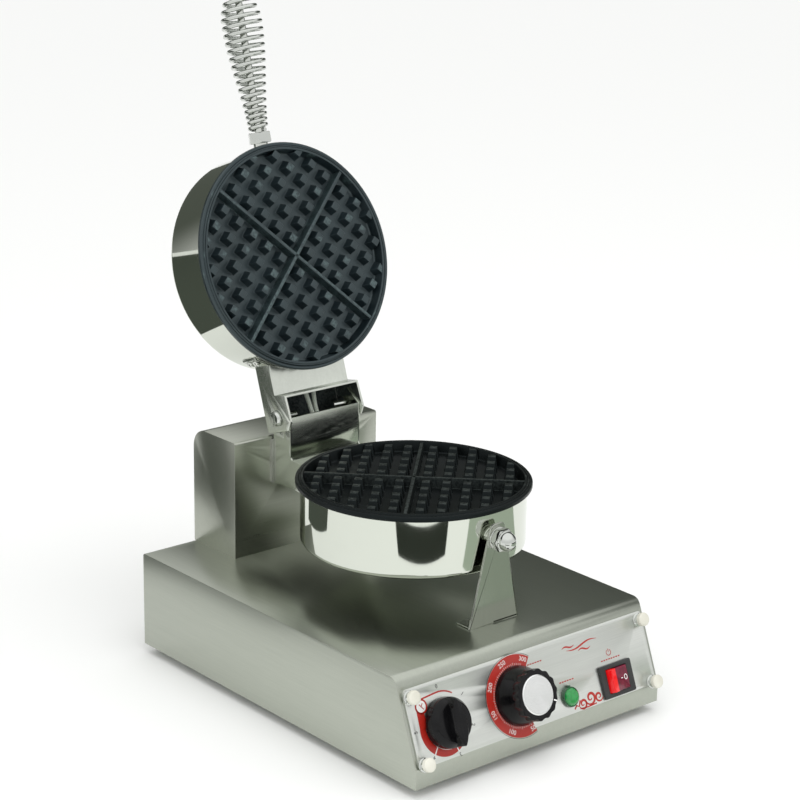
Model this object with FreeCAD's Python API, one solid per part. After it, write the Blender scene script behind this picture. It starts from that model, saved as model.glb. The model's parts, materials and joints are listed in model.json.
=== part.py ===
import FreeCAD, Part
import math
import os

from FreeCAD import Placement, Rotation, Vector

# Single-head round waffle baker: a sheet-steel base with a sloping control panel, a rear column,
# a fixed lower pan, and an upper pan that swings on a hinge in front of the column.
# Millimetres, +X to the right, +Y to the back, +Z up. Shapes are drawn with the pan's axis at
# x = y = 0 and the base shell's lower edge at z = 0. save() moves them to the part's origin,
# which is the middle of the footprint on the surface that the feet stand on.

# ---- driving dimensions
foot_height = 8.0
pan_axis_y = -34.0              # the pan's axis, from the part's origin

sheet = 1.2                     # steel of the base and the column
base_half = 125.0
base_front = -151.8             # front lip
lip_height = 15.0
base_top = 79.1
slope_back = -126.8             # where the sloping front meets the top
base_rear = 191.1
fold_radius = 8.0

column_half = 73.5
column_front = 134.4
column_top = 177.4
column_round = 16.0

shell_radius = 88.5             # polished pan shells
shell_wall = 1.0
pan_depth = 53.0
plate_radius = 92.5             # cast waffle plates
rim_drop = 5.2
cavity_depth = 14.0
floor_radius = 81.5
mouth_radius = 86.3
plate_floor = 5.0
body_radius = 85.2              # cast body below the rim, clear of the bolt heads in the shell
peg_pitch = 16.0
peg_first = 10.2                # first peg's centre from a rib's middle
peg_base = 11.4
peg_top = 6.2
peg_drop = 0.5                  # peg and rib tops below the rim
rib_top = 2.8
rib_base = 4.4
lower_face = 171.65
parting_gap = 1.4

hinge_y = 125.3
hinge_z = 194.1
open_angle = 109.6
arm_half = 37.9                 # outer face of the lid arm's ears
arm_sheet = 1.9
cheek_half = 35.7               # outer face of the lower bracket's cheeks
cheek_sheet = 1.5
pivot_radius = 4.0
pivot_play = 0.05

handle_root = 95.0              # from the lid's axis
handle_back = 18.4              # behind the lid's face
handle_tilt = 4.85
handle_length = 125.0
coil_wire = 1.5
rod_radius = 3.0

stud_z = 152.7                  # front stud of the lower pan
bracket_y = -94.6

panel_sheet = 1.5
knob_shaft = 3.0
shaft_play = 0.05
rocker_tilt = 9.0

# ---- values that follow
upper_face = lower_face + parting_gap
slope_run = slope_back - base_front
slope_rise = base_top - lip_height
slope_angle = math.degrees(math.atan2(slope_rise, slope_run))
hinge = Vector(0, hinge_y, hinge_z)
X, Y, Z = Vector(1, 0, 0), Vector(0, 1, 0), Vector(0, 0, 1)

os.makedirs("parts", exist_ok=True)


# ---- drawing tools

def outline(corners, at):
    """Closed wire through (a, b) corners placed by at(); a third number rounds that corner."""
    spots = []
    count = len(corners)
    for i, corner in enumerate(corners):
        here = Vector(corner[0], corner[1], 0)
        if len(corner) == 2:
            spots.append((here, None, here))
            continue
        last, following = corners[i - 1], corners[(i + 1) % count]
        back = (Vector(last[0], last[1], 0) - here).normalize()
        on = (Vector(following[0], following[1], 0) - here).normalize()
        half = back.getAngle(on) / 2
        run = corner[2] / math.tan(half)
        inward = (back + on).normalize()
        crown = here + inward * (corner[2] / math.sin(half) - corner[2])
        spots.append((here + back * run, crown, here + on * run))
    edges = []
    for i, (start, crown, stop) in enumerate(spots):
        if crown:
            edges.append(Part.Arc(at(start), at(crown), at(stop)).toShape())
        following = spots[(i + 1) % count][0]
        if (following - stop).Length > 1e-6:
            edges.append(Part.makeLine(at(stop), at(following)))
    return Part.Wire(edges)


def side_slab(corners, x0, x1):
    """(y, z) outline, extruded from x0 to x1."""
    return Part.Face(outline(corners, lambda p: Vector(x0, p.x, p.y))).extrude(X * (x1 - x0))


def flat_slab(corners, z0, z1):
    """(x, y) outline, extruded from z0 to z1."""
    return Part.Face(outline(corners, lambda p: Vector(p.x, p.y, z0))).extrude(Z * (z1 - z0))


def front_slab(corners, y0, y1):
    """(x, z) outline, extruded from y0 to y1."""
    return Part.Face(outline(corners, lambda p: Vector(p.x, y0, p.y))).extrude(Y * (y1 - y0))


def spun(corners, angle=360):
    """(radius, z) outline, turned round the Z axis."""
    return Part.Face(outline(corners, lambda p: Vector(p.x, 0, p.y))).revolve(Vector(), Z, angle)


def box(x0, x1, y0, y1, z0, z1):
    return Part.makeBox(x1 - x0, y1 - y0, z1 - z0, Vector(x0, y0, z0))


def rod(radius, start, stop):
    run = stop - start
    return Part.makeCylinder(radius, run.Length, start, run)


def hex_prism(across_flats, start, stop, bore=0.0):
    """Hexagonal bar along start to stop, with its corners turned off at both ends."""
    run = stop - start
    height = run.Length
    corner = across_flats / math.sqrt(3)
    points = [Vector(corner * math.cos(math.radians(60 * k)), corner * math.sin(math.radians(60 * k)), 0)
              for k in range(6)]
    bar = Part.Face(Part.makePolygon(points + points[:1])).extrude(Z * height)
    chamfer = 0.5 * (corner - across_flats / 2)
    turned = spun([(0, 0), (across_flats / 2, 0), (corner, chamfer),
                   (corner, height - chamfer), (across_flats / 2, height), (0, height)])
    bar = bar.common(turned)
    if bore:
        bar = bar.cut(Part.makeCylinder(bore, height))
    bar.Placement = Placement(start, Rotation(Z, run))
    return bar


def frustum(base, top, z0, z1, x=0.0, y=0.0, length=None):
    """Square block with sloping sides; with length it is a bar along X."""
    def rectangle(wide, deep, z):
        return Part.makePolygon([Vector(x - wide / 2, y - deep / 2, z), Vector(x + wide / 2, y - deep / 2, z),
                                 Vector(x + wide / 2, y + deep / 2, z), Vector(x - wide / 2, y + deep / 2, z),
                                 Vector(x - wide / 2, y - deep / 2, z)])
    lower = rectangle(length or base, base, z0)
    upper = rectangle(length or top, top, z1)
    return Part.makeLoft([lower, upper], True, True)


def moved(shape, offset, axis=Z, angle=0.0):
    copy = shape.copy()
    copy.Placement = Placement(offset, Rotation(axis, angle)).multiply(copy.Placement)
    return copy


def fused(first, *others):
    return first.fuse(list(others)).removeSplitter()


def cut(shape, *tools):
    return shape.cut(list(tools))


def opened(shape):
    """Lid pieces are drawn closed; at rest the lid stands open against its stop."""
    copy = shape.copy()
    copy.rotate(hinge, X, -open_angle)
    return copy


def on_panel(shape, x, up):
    """Shape drawn with Z out of the panel and Y up the slope, set at x and up from the lip's bend."""
    angle = math.radians(slope_angle)
    foot = Vector(x, base_front + up * math.cos(angle), lip_height + up * math.sin(angle))
    return moved(shape, foot, X, slope_angle)


def save(name, *shapes):
    shape = shapes[0] if len(shapes) == 1 else Part.makeCompound(list(shapes))
    shape = moved(shape, Vector(0, pan_axis_y, foot_height))
    shape.exportStep("parts/%s.step" % name)


# ---- fasteners, drawn with the head's seat at z = 0 and the shank down

def pan_head_screw(radius, head, height, length, slot=True):
    screw = spun([(0, -length), (radius, -length), (radius, 0), (head, 0),
                  (head, 0.45 * height), (0.6 * head, height), (0, height)])
    if slot:
        screw = screw.cut(box(-head, head, -0.12 * head, 0.12 * head, 0.55 * height, 2 * height))
    return screw


def thumb_screw():
    """Plain round-capped stand-off screw with a washer foot."""
    return spun([(0, -9), (2.0, -9), (2.0, 0), (5.4, 0), (5.4, 1.0), (4.4, 1.6), (4.4, 5.4),
                 (5.3, 6.0), (5.3, 9.2, 0.8), (0, 10.2)])


# ---- base: shell, bottom, feet

def base_section(inset):
    """(y, z) outline of the base, inset by a wall."""
    tilt = math.radians(slope_angle)
    lip = base_front + inset
    bend = lip_height - inset * (1 - math.cos(tilt)) / math.sin(tilt)
    top = base_top - inset
    fold = lip + (top - bend) / math.tan(tilt)
    return [(lip, 0), (lip, bend, 3.0 - 0.5 * inset), (fold, top, fold_radius - inset),
            (base_rear - inset, top, 2.4 - inset), (base_rear - inset, 0)]


flange = 14.0
window_half, window_low, window_high = 108.0, 2.2, 56.0
outer = side_slab(base_section(0.0), -base_half, base_half)
inner = side_slab(base_section(sheet), sheet - base_half, base_half - sheet)
above_flange = box(-base_half, base_half, base_front, base_rear, sheet, base_top)
hand_hole = box(flange - base_half, base_half - flange, base_front + flange, base_rear - flange, -1, 2 * sheet)
window = on_panel(box(-window_half, window_half, window_low, window_high, -6, 6), 0, 0)
thumb_x, thumb_low, thumb_high = 117.5, 3.4, 54.0
thumb_spots = [(sx * thumb_x, up) for sx in (-1, 1) for up in (thumb_low, thumb_high)]
thumb_holes = [on_panel(Part.makeCylinder(2.1, 20, Vector(0, 0, -10)), x, up) for x, up in thumb_spots]
cable_duct = box(-50, 50, column_front + 12, base_rear - 12, base_top - 6, base_top + 6)
gland_x, gland_z = -70.0, 30.0
gland_hole = rod(8.05, Vector(gland_x, base_rear - 6, gland_z), Vector(gland_x, base_rear + 6, gland_z))
bottom_screw_spots = [(sx * (base_half - 7), y) for sx in (-1, 1) for y in (-120, 20, 160)]
bottom_screw_holes = [Part.makeCylinder(1.6, 8, Vector(x, y, -4)) for x, y in bottom_screw_spots]
shell = cut(outer, inner.common(above_flange), hand_hole, window, cable_duct, gland_hole,
            *(thumb_holes + bottom_screw_holes))

foot_x, foot_y0, foot_y1 = 88.0, -112.0, 152.0
foot_spots = [(sx * foot_x, y) for sx in (-1, 1) for y in (foot_y0, foot_y1)]
bottom = flat_slab([(2 - base_half, base_front + 2, 2), (base_half - 2, base_front + 2, 2),
                    (base_half - 2, base_rear - 2, 2), (2 - base_half, base_rear - 2, 2)], -1, 0)
vents = [flat_slab([(x - 2, y - 20, 1.9), (x + 2, y - 20, 1.9), (x + 2, y + 20, 1.9), (x - 2, y + 20, 1.9)],
                   -2, 1) for x in range(-40, 41, 10) for y in (-40, 60)]
foot_holes = [Part.makeCylinder(2.1, 4, Vector(x, y, -2)) for x, y in foot_spots]
bottom = cut(bottom, *(vents + foot_holes + bottom_screw_holes))

foot = spun([(2.2, -1), (2.2, -4.5), (4.6, -4.5), (4.6, -foot_height), (9.0, -foot_height, 1.2), (11.0, -1)])
feet = [moved(foot, Vector(x, y, 0)) for x, y in foot_spots]
foot_screw = moved(pan_head_screw(2.0, 4.3, 2.4, 7.5, slot=False), Vector(0, 0, -4.5), X, 180)
foot_screws = [moved(foot_screw, Vector(x, y, 0)) for x, y in foot_spots]
bottom_screw = moved(pan_head_screw(1.5, 2.9, 1.6, 6.0), Vector(0, 0, -1), X, 180)
bottom_screws = [moved(bottom_screw, Vector(x, y, 0)) for x, y in bottom_screw_spots]

save("base_shell", shell)
save("bottom_plate", bottom)
save("rubber_feet", *feet)
save("foot_screws", *foot_screws)

# ---- control panel and what it carries

timer_x, timer_up = -91.0, 27.0
thermo_x, thermo_up = -17.5, 27.5
lamp_x, lamp_up = 31.8, 13.5
switch_x, switch_up = 82.0, 14.5
switch_wide, switch_high = 33.0, 25.4
rocker_radius, rocker_high = 10.5, 18.0

panel = Part.Face(outline([(-122, 0.5, 3), (122, 0.5, 3), (122, 59, 3), (-122, 59, 3)],
                          lambda p: p)).extrude(Z * panel_sheet)
panel_cuts = [Part.makeCylinder(knob_shaft + 0.6, 6, Vector(timer_x, timer_up, -2)),
              Part.makeCylinder(knob_shaft + 0.6, 6, Vector(thermo_x, thermo_up, -2)),
              Part.makeCylinder(6.05, 6, Vector(lamp_x, lamp_up, -2)),
              box(switch_x - 14.05, switch_x + 14.05, switch_up - 10.8, switch_up + 10.8, -2, 4)]
panel_cuts += [Part.makeCylinder(2.1, 6, Vector(x, up, -2)) for x, up in thumb_spots]
save("control_panel", on_panel(cut(panel, *panel_cuts), 0, 0))
save("panel_thumb_screws", *[on_panel(moved(thumb_screw(), Vector(0, 0, panel_sheet)), x, up)
                             for x, up in thumb_spots])


def shaft_with_flat(z0, z1, flat_from):
    shaft = Part.makeCylinder(knob_shaft, z1 - z0, Vector(0, 0, z0))
    return shaft.cut(box(-5, 5, 1.9, 5, flat_from, z1 + 1))


def shaft_bore(z0, z1):
    """D-shaped socket in a knob, a hair larger than the shaft."""
    bore = Part.makeCylinder(knob_shaft + 0.02, z1 - z0, Vector(0, 0, z0))
    return bore.cut(box(-5, 5, 1.92, 5, z0, z1))


def timer_body():
    """Clockwork case with a round spring drum behind it and two spade terminals."""
    case = flat_slab([(-16.5, -21, 3), (16.5, -21, 3), (16.5, 21, 3), (-16.5, 21, 3)], -24, -0.05)
    drum = Part.makeCylinder(16, 12, Vector(0, 0, -36))
    blades = [box(x - 0.4, x + 0.4, -19, -13, -44, -24) for x in (-8, 8)]
    body = fused(case, drum, *blades)
    return body.cut(Part.makeCylinder(knob_shaft + shaft_play, 13, Vector(0, 0, -12)))


def thermostat_body():
    """Round bellows case on a bridge plate, with two spade terminals."""
    plate = flat_slab([(-26, -12, 4), (26, -12, 4), (26, 12, 4), (-26, 12, 4)], -2.5, -0.05)
    case = spun([(0, -30), (15, -30, 2), (17, -24), (17, -2.5), (0, -2.5)])
    blades = [box(x - 0.4, x + 0.4, -9, -3, -38, -28) for x in (-6, 6)]
    body = fused(plate, case, *blades)
    return body.cut(Part.makeCylinder(knob_shaft + shaft_play, 13, Vector(0, 0, -12)))


def timer_knob():
    """Round knob with a skirt, and a curved finger wing across its face."""
    skirt = spun([(0, 3), (16.8, 3), (17.5, 4), (17.2, 8.5, 2), (13.5, 12.5, 2), (0, 12.5)])
    wing = Part.Face(outline([(-4.2, -13.6), (0, -16.4, 2.5), (4.2, -13.6), (3.4, 3), (1.4, 15.2),
                              (0, 16.4, 0.8), (-1.4, 15.2), (-3.4, 3)], lambda p: p)).extrude(Z * 20.5)
    ring = spun([(0, 3), (17.2, 3), (17.2, 10), (15.4, 20.5, 2), (0, 20.5)])
    knob = fused(skirt, wing.common(ring))
    return knob.cut(shaft_bore(1, 14))


def thermostat_knob():
    """Wide collar, tapering barrel and a fluted grip ring with a recess for the metal cap."""
    barrel = spun([(0, 2.6), (20.5, 2.6, 0.8), (20.0, 6.0), (18.6, 16.0), (18.6, 19.0), (0, 19.0)])
    grip = spun([(0, 16.5), (19.6, 16.5), (19.6, 24.2, 1.2), (0, 24.2)])
    flutes = [Part.makeCylinder(4.2, 9, Vector(23.0 * math.cos(math.radians(a)),
                                               23.0 * math.sin(math.radians(a)), 16.0))
              for a in range(0, 360, 24)]
    knob = fused(barrel, grip.cut(flutes))
    return cut(knob, Part.makeCylinder(14.7, 3, Vector(0, 0, 22.8)), shaft_bore(1, 15))


cap = spun([(0, 22.8), (14.6, 22.8), (14.6, 24.0, 0.6), (12.6, 24.8), (0, 24.8)])
save("timer_body", on_panel(timer_body(), timer_x, timer_up))
save("timer_shaft", on_panel(shaft_with_flat(-11.5, 13.8, 2.6), timer_x, timer_up))
save("timer_knob", on_panel(timer_knob(), timer_x, timer_up))
save("thermostat_body", on_panel(thermostat_body(), thermo_x, thermo_up))
save("thermostat_shaft", on_panel(shaft_with_flat(-11.5, 14.8, 2.6), thermo_x, thermo_up))
save("thermostat_knob", on_panel(thermostat_knob(), thermo_x, thermo_up))
save("thermostat_cap", on_panel(cap, thermo_x, thermo_up))

lens = spun([(0, 1.6), (6.9, 1.6), (6.9, 3.6), (6.0, 5.4, 2.5), (0, 6.6)])
holder = spun([(0, -20), (4.6, -20), (4.6, -12), (5.9, -12), (5.9, 1.5), (7.8, 1.5), (7.8, 3.0, 0.5),
               (7.0, 3.2), (7.0, 1.5), (0, 1.5)])
lamp_nut = hex_prism(15, Vector(0, 0, -5.0), Vector(0, 0, -0.05), 5.95)
save("lamp_lens", on_panel(lens, lamp_x, lamp_up))
save("lamp_holder", on_panel(holder, lamp_x, lamp_up))
save("lamp_nut", on_panel(lamp_nut, lamp_x, lamp_up))

# The rocker is a slice of a drum that turns in the bezel about the line z = rocker_pivot.
rocker_pivot = 1.0
rocker_play = 0.4


def switch_body():
    bezel = Part.Face(outline([(-switch_wide / 2, -switch_high / 2, 1.5), (switch_wide / 2, -switch_high / 2, 1.5),
                               (switch_wide / 2, switch_high / 2, 1.5), (-switch_wide / 2, switch_high / 2, 1.5)],
                              lambda p: p)).extrude(Z * 2.2)
    bezel.translate(Z * (panel_sheet + 0.02))
    case = box(-14, 14, -10.7, 10.7, -20, panel_sheet + 0.1)
    blades = [box(x - 0.4, x + 0.4, -3, 3, -29, -20) for x in (-8, 0, 8)]
    well = box(-rocker_radius - rocker_play, rocker_radius + rocker_play,
               -rocker_high / 2 - rocker_play, rocker_high / 2 + rocker_play, -12.5, 8)
    return cut(fused(bezel, case, *blades), well)


def switch_rocker():
    """Drum slice with two faces that meet in a shallow valley at the middle."""
    drum = Part.makeCylinder(rocker_radius, rocker_high, Vector(0, -rocker_high / 2, 0), Y)
    keep = Part.Face(outline([(-11, -5), (11, -5), (11, 5.6), (0, 4.3), (-11, 5.6)],
                             lambda p: Vector(p.x, -rocker_high / 2, p.y))).extrude(Y * rocker_high)
    rocker = drum.common(keep)
    return moved(rocker, Vector(0, 0, rocker_pivot), Y, rocker_tilt)


save("switch_body", on_panel(switch_body(), switch_x, switch_up))
save("switch_rocker", on_panel(switch_rocker(), switch_x, switch_up))

# ---- inside the base

block = fused(box(30, 78, 60, 80, sheet, 14), *[box(x, x + 1.6, 60, 80, 14, 20) for x in (30, 45.4, 60.9, 76.4)])
block = cut(block, *[rod(2.2, Vector(x, 59, 9), Vector(x, 81, 9)) for x in (38.5, 54, 69.5)])
save("terminal_block", moved(block, Vector(0, 0, 0)))
gland = fused(rod(8.0, Vector(gland_x, base_rear - 8, gland_z), Vector(gland_x, base_rear + 1, gland_z)),
              hex_prism(22, Vector(gland_x, base_rear + 0.02, gland_z), Vector(gland_x, base_rear + 6, gland_z)),
              Part.makeCone(9.5, 6.5, 9, Vector(gland_x, base_rear + 6, gland_z), Y))
gland = gland.cut(rod(4.0, Vector(gland_x, base_rear - 9, gland_z), Vector(gland_x, base_rear + 16, gland_z)))
gland_nut = hex_prism(20, Vector(gland_x, base_rear - sheet - 5.5, gland_z),
                      Vector(gland_x, base_rear - sheet - 0.02, gland_z), 8.05)
save("cable_gland", gland)
save("gland_nut", gland_nut)

# ---- column

cover_half, cover_low, cover_high = 60.0, 88.0, 152.0


def column_section(inset):
    return [(column_front + inset, base_top), (column_front + inset, column_top - inset, 2.0 - inset),
            (base_rear - inset, column_top - inset, column_round - inset), (base_rear - inset, base_top)]


wire_slot_y0, wire_slot_y1 = column_front - 4, column_front + 4
cover_screw_spots = [(sx * (cover_half - 5), z) for sx in (-1, 1) for z in (cover_low + 5, cover_high - 5)]
back_plate_low, back_plate_high = 137.0, 174.6
hinge_bolt_spots = [(sx * 24.0, z) for sx in (-1, 1) for z in (back_plate_low + 8, back_plate_high - 12)]
column = side_slab(column_section(0.0), -column_half, column_half)
column = cut(column, side_slab(column_section(sheet), sheet - column_half, column_half - sheet),
             box(-cover_half + 9, cover_half - 9, base_rear - 4, base_rear + 4, cover_low + 9, cover_high - 9),
             box(-8, 8, wire_slot_y0, wire_slot_y1, 150, 164),
             *([rod(1.6, Vector(x, base_rear - 4, z), Vector(x, base_rear + 4, z)) for x, z in cover_screw_spots]
               + [rod(2.6, Vector(x, column_front - 4, z), Vector(x, column_front + 4, z))
                  for x, z in hinge_bolt_spots]))
save("column_shell", column)
cover = front_slab([(-cover_half, cover_low, 4), (cover_half, cover_low, 4), (cover_half, cover_high, 4),
                    (-cover_half, cover_high, 4)], base_rear + 0.02, base_rear + 1.2)
cover = cut(cover, *[rod(1.6, Vector(x, base_rear - 4, z), Vector(x, base_rear + 4, z))
                     for x, z in cover_screw_spots])
save("column_back_cover", cover)
cover_screw = moved(pan_head_screw(1.5, 2.9, 1.6, 6.0), Vector(), X, -90)
cover_screws = [moved(cover_screw, Vector(x, base_rear + 1.22, z)) for x, z in cover_screw_spots]
save("cover_screws", *(cover_screws + bottom_screws))


# ---- pans, drawn with the waffle face at z = 0 and the body below it

def waffle_plate():
    """Cast plate: stepped rim, round cavity, two crossing ribs and a grid of tapered pegs."""
    plate = spun([(0, -cavity_depth), (floor_radius, -cavity_depth), (mouth_radius, 0),
                  (89.4, 0), (89.9, -1.0), (91.4, -1.0), (plate_radius, -2.0), (plate_radius, -4.4),
                  (plate_radius - 0.7, -rim_drop), (87.2, -rim_drop), (87.2, -7.0), (body_radius, -8.6),
                  (body_radius, -cavity_depth - plate_floor), (0, -cavity_depth - plate_floor)])
    taper = (mouth_radius - floor_radius) / cavity_depth
    bite = 0.4
    cavity = Part.makeCone(floor_radius + bite, floor_radius + bite + taper * cavity_depth, cavity_depth,
                           Vector(0, 0, -cavity_depth), Z)
    root = -cavity_depth - 0.2
    pegs = []
    steps = [peg_first + peg_pitch * k for k in range(5)]
    for a in steps:
        for b in steps:
            if math.hypot(a - peg_top / 2, b - peg_top / 2) > floor_radius:
                continue
            for u, v in ((a, b), (a, -b), (-a, b), (-a, -b)):
                pegs.append(frustum(peg_base, peg_top, root, -peg_drop, u, v))
    reach = 2 * mouth_radius
    ribs = [frustum(rib_base, rib_top, root, -peg_drop, length=reach),
            moved(frustum(rib_base, rib_top, root, -peg_drop, length=reach), Vector(), Z, 90)]
    raised = fused(ribs[0], ribs[1], *pegs).common(Part.makeCompound([cavity, Part.makeCylinder(
        floor_radius, 0.3, Vector(0, 0, root))]).Solids[0])
    plate = plate.fuse(raised).removeSplitter()
    return moved(plate, Vector(), Z, 45)


def pan_shell():
    """Spun cup with a rounded bottom edge and a small outward bead at its mouth."""
    top = -rim_drop - 0.02
    return spun([(0, -pan_depth), (shell_radius, -pan_depth, 5), (shell_radius, top),
                 (shell_radius - shell_wall, top), (shell_radius - shell_wall, shell_wall - pan_depth, 4),
                 (0, shell_wall - pan_depth)])


element_ring, element_tube = 56.0, 4.0
element_z = -cavity_depth - plate_floor - element_tube - 0.05
clamp_z = element_z - element_tube - 0.05
clamp_stud_ring = 36.0


def heating_element():
    """Tubular heater bent to an open ring, with two cold ends that turn down."""
    gap = 24
    circle = Part.Wire(Part.makeCircle(element_tube, Vector(element_ring, 0, element_z), Y))
    ring = Part.Face(circle).revolve(Vector(), Z, 360 - gap)
    ring.rotate(Vector(), Z, gap / 2)
    ends = []
    for side in (-1, 1):
        angle = math.radians(side * gap / 2)
        spot = Vector(element_ring * math.cos(angle), element_ring * math.sin(angle), element_z)
        ends.append(Part.makeSphere(element_tube, spot))
        ends.append(rod(element_tube, spot, spot - Z * 12))
    return moved(fused(ring, *ends), Vector(), Z, 90)


def clamp_plate():
    disc = spun([(12, clamp_z - 2), (66, clamp_z - 2), (66, clamp_z), (12, clamp_z)])
    slots = moved(box(40, 70, -18, 18, clamp_z - 3, clamp_z + 1), Vector(), Z, 90)
    holes = [Part.makeCylinder(3.1, 6, Vector(clamp_stud_ring * math.cos(a), clamp_stud_ring * math.sin(a),
                                              clamp_z - 4)) for a in clamp_angles]
    return cut(disc, slots, *holes)


clamp_angles = [math.radians(a) for a in (30, 150, 270)]


def clamp_bolts():
    bolts = []
    for a in clamp_angles:
        spot = Vector(clamp_stud_ring * math.cos(a), clamp_stud_ring * math.sin(a), 0)
        stud = rod(3.0, spot + Z * (clamp_z - 9), spot - Z * (cavity_depth + plate_floor))
        nut = hex_prism(10, spot + Z * (clamp_z - 7.2), spot + Z * (clamp_z - 2.05))
        bolts.append(fused(stud, nut))
    return bolts


def insulation():
    wool = spun([(0, 1.2 - pan_depth), (78, 1.2 - pan_depth), (82, 6 - pan_depth), (82, clamp_z - 10),
                 (0, clamp_z - 10)])
    wells = [Part.makeCylinder(7, 20, Vector(clamp_stud_ring * math.cos(a), clamp_stud_ring * math.sin(a),
                                             clamp_z - 12)) for a in clamp_angles]
    leads = moved(box(40, 70, -18, 18, clamp_z - 14, clamp_z), Vector(), Z, 90)
    return cut(wool, leads, *wells)


def lower(shape):
    return moved(shape, Vector(0, 0, lower_face))


def upper(shape):
    return opened(moved(shape, Vector(0, 0, upper_face), X, 180))


# ---- lower pan on its front stud and rear bracket

stud_hole = rod(4.05, Vector(0, -shell_radius - 4, stud_z), Vector(0, -shell_radius + 6, stud_z))
pan_screw_spots = [(x, z) for x in (-24, 24) for z in (lower_face - 27, lower_face - 15)]


def shell_spot(x, z, out=0.0):
    """Point on the rear of a pan shell at x, out from its wall."""
    side = math.sqrt(shell_radius ** 2 - x ** 2)
    return Vector(x, side, z) + Vector(x, side, 0).normalize() * out


pan_screw_holes = [rod(2.05, shell_spot(x, z, -5), shell_spot(x, z, 5)) for x, z in pan_screw_spots]
wire_hole = box(-9, 9, shell_radius - 8, shell_radius + 4, lower_face - 27, lower_face - 15)
save("lower_pan_shell", cut(lower(pan_shell()), stud_hole, wire_hole, *pan_screw_holes))
save("lower_waffle_plate", lower(waffle_plate()))
save("lower_heating_element", lower(heating_element()))
save("lower_clamp_plate", lower(clamp_plate()))
save("lower_clamp_bolts", *[lower(bolt) for bolt in clamp_bolts()])
save("lower_insulation", lower(insulation()))
bulb_z = -cavity_depth - plate_floor - 3.1
save("thermostat_bulb", lower(rod(3.0, Vector(-22, 4, bulb_z), Vector(22, 4, bulb_z))))

bracket_sheet = 2.0
bracket_foot, bracket_foot_x, bracket_head = 24.0, 1.0, 10.0
head_top = stud_z + 6.5
rise = front_slab([(bracket_foot_x - bracket_foot, base_top + 0.02), (bracket_foot_x + bracket_foot, base_top + 0.02),
                   (bracket_head, head_top, 7), (-bracket_head, head_top, 7)],
                  bracket_y, bracket_y + bracket_sheet)
toe = flat_slab([(bracket_foot_x - bracket_foot, bracket_y + 0.5), (bracket_foot_x + bracket_foot, bracket_y + 0.5),
                 (bracket_foot_x + bracket_foot - 3, bracket_y + 15, 3),
                 (bracket_foot_x - bracket_foot + 3, bracket_y + 15, 3)],
                base_top + 0.02, base_top + bracket_sheet)
toe_spots = [(bracket_foot_x + sx * 13, bracket_y + 9) for sx in (-1, 1)]
bracket = cut(fused(rise, toe), rod(4.05, Vector(0, bracket_y - 4, stud_z), Vector(0, bracket_y + 6, stud_z)),
              *[Part.makeCylinder(2.1, 8, Vector(x, y, base_top - 2)) for x, y in toe_spots])
save("front_bracket", bracket)
toe_screw = pan_head_screw(2.0, 3.8, 2.2, 0.0 + bracket_sheet - 0.1)
save("bracket_screws", *[moved(toe_screw, Vector(x, y, base_top + bracket_sheet + 0.02)) for x, y in toe_spots])


def along_front(shape, y):
    """Fastener drawn with its head at +Z, turned to face the front with its seat at y."""
    return moved(shape, Vector(0, y, stud_z), X, 90)


head_seat, head_thick = -87.15, 1.6       # flat bolt heads inside a pan shell
nut_thick = 6.4
save("stud_spacer", rod(7.0, Vector(0, bracket_y + bracket_sheet + 0.02, stud_z), Vector(0, -84, stud_z)).cut(
    [Part.makeCylinder(shell_radius + 0.02, 40, Vector(0, 0, stud_z - 20)),
     rod(4.05, Vector(0, bracket_y, stud_z), Vector(0, -80, stud_z))]))
stud_head = rod(7.0, Vector(0, head_seat, stud_z), Vector(0, head_seat + head_thick, stud_z))
save("front_stud", fused(rod(4.0, Vector(0, bracket_y - nut_thick - 7.5, stud_z), Vector(0, head_seat, stud_z)),
                         stud_head))
save("stud_washer", rod(9.0, Vector(0, bracket_y - 1.5, stud_z), Vector(0, bracket_y - 0.02, stud_z)).cut(
    rod(4.05, Vector(0, bracket_y - 3, stud_z), Vector(0, bracket_y + 3, stud_z))))
save("stud_hex_nut", hex_prism(15, Vector(0, bracket_y - 1.52, stud_z),
                               Vector(0, bracket_y - 1.52 - nut_thick, stud_z), 4.02))
acorn = spun([(0, 0), (8.6, 0), (8.6, 1.4), (6.9, 2.2), (6.9, 6.5), (5.2, 11.2, 4.5), (0, 13.8)])
acorn_hex = hex_prism(14.5, Vector(), Z * 6.5)
acorn = cut(fused(acorn, acorn_hex), Part.makeCylinder(4.02, 9))
save("stud_acorn_nut", along_front(acorn, bracket_y - 1.55 - nut_thick))

# ---- hinge: lower bracket, back plate, pivots

cheek_back = column_front - 1.7
cheek_front = hinge_y - 14.7
cheek_low, leg_high = 138.0, 162.0
web_high = hinge_z + 3.4
ring_gap = 0.15
flange_sheet = 1.5
crown = 12.5                        # radius of a cheek's head round the pivot


def behind_pan(shape, gap):
    """Trims a bracket to the round wall of a pan shell."""
    return shape.cut(Part.makeCylinder(shell_radius + gap, 400, Vector(0, 0, 0)))


def curved_flange(half, z0, z1):
    """Strip that hugs the rear of a pan shell."""
    ring = Part.makeCylinder(shell_radius + ring_gap + flange_sheet, z1 - z0, Vector(0, 0, z0))
    ring = ring.cut(Part.makeCylinder(shell_radius + ring_gap, z1 - z0, Vector(0, 0, z0)))
    return ring.common(box(-half, half, 40, 120, z0, z1))


def cheek(x0, x1):
    leg = side_slab([(70, cheek_low), (cheek_back, cheek_low), (cheek_back, hinge_z), (hinge_y + crown, hinge_z),
                     (hinge_y, hinge_z + crown), (cheek_front, web_high), (cheek_front, leg_high, 3),
                     (70, leg_high)], x0, x1)
    return leg


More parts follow.
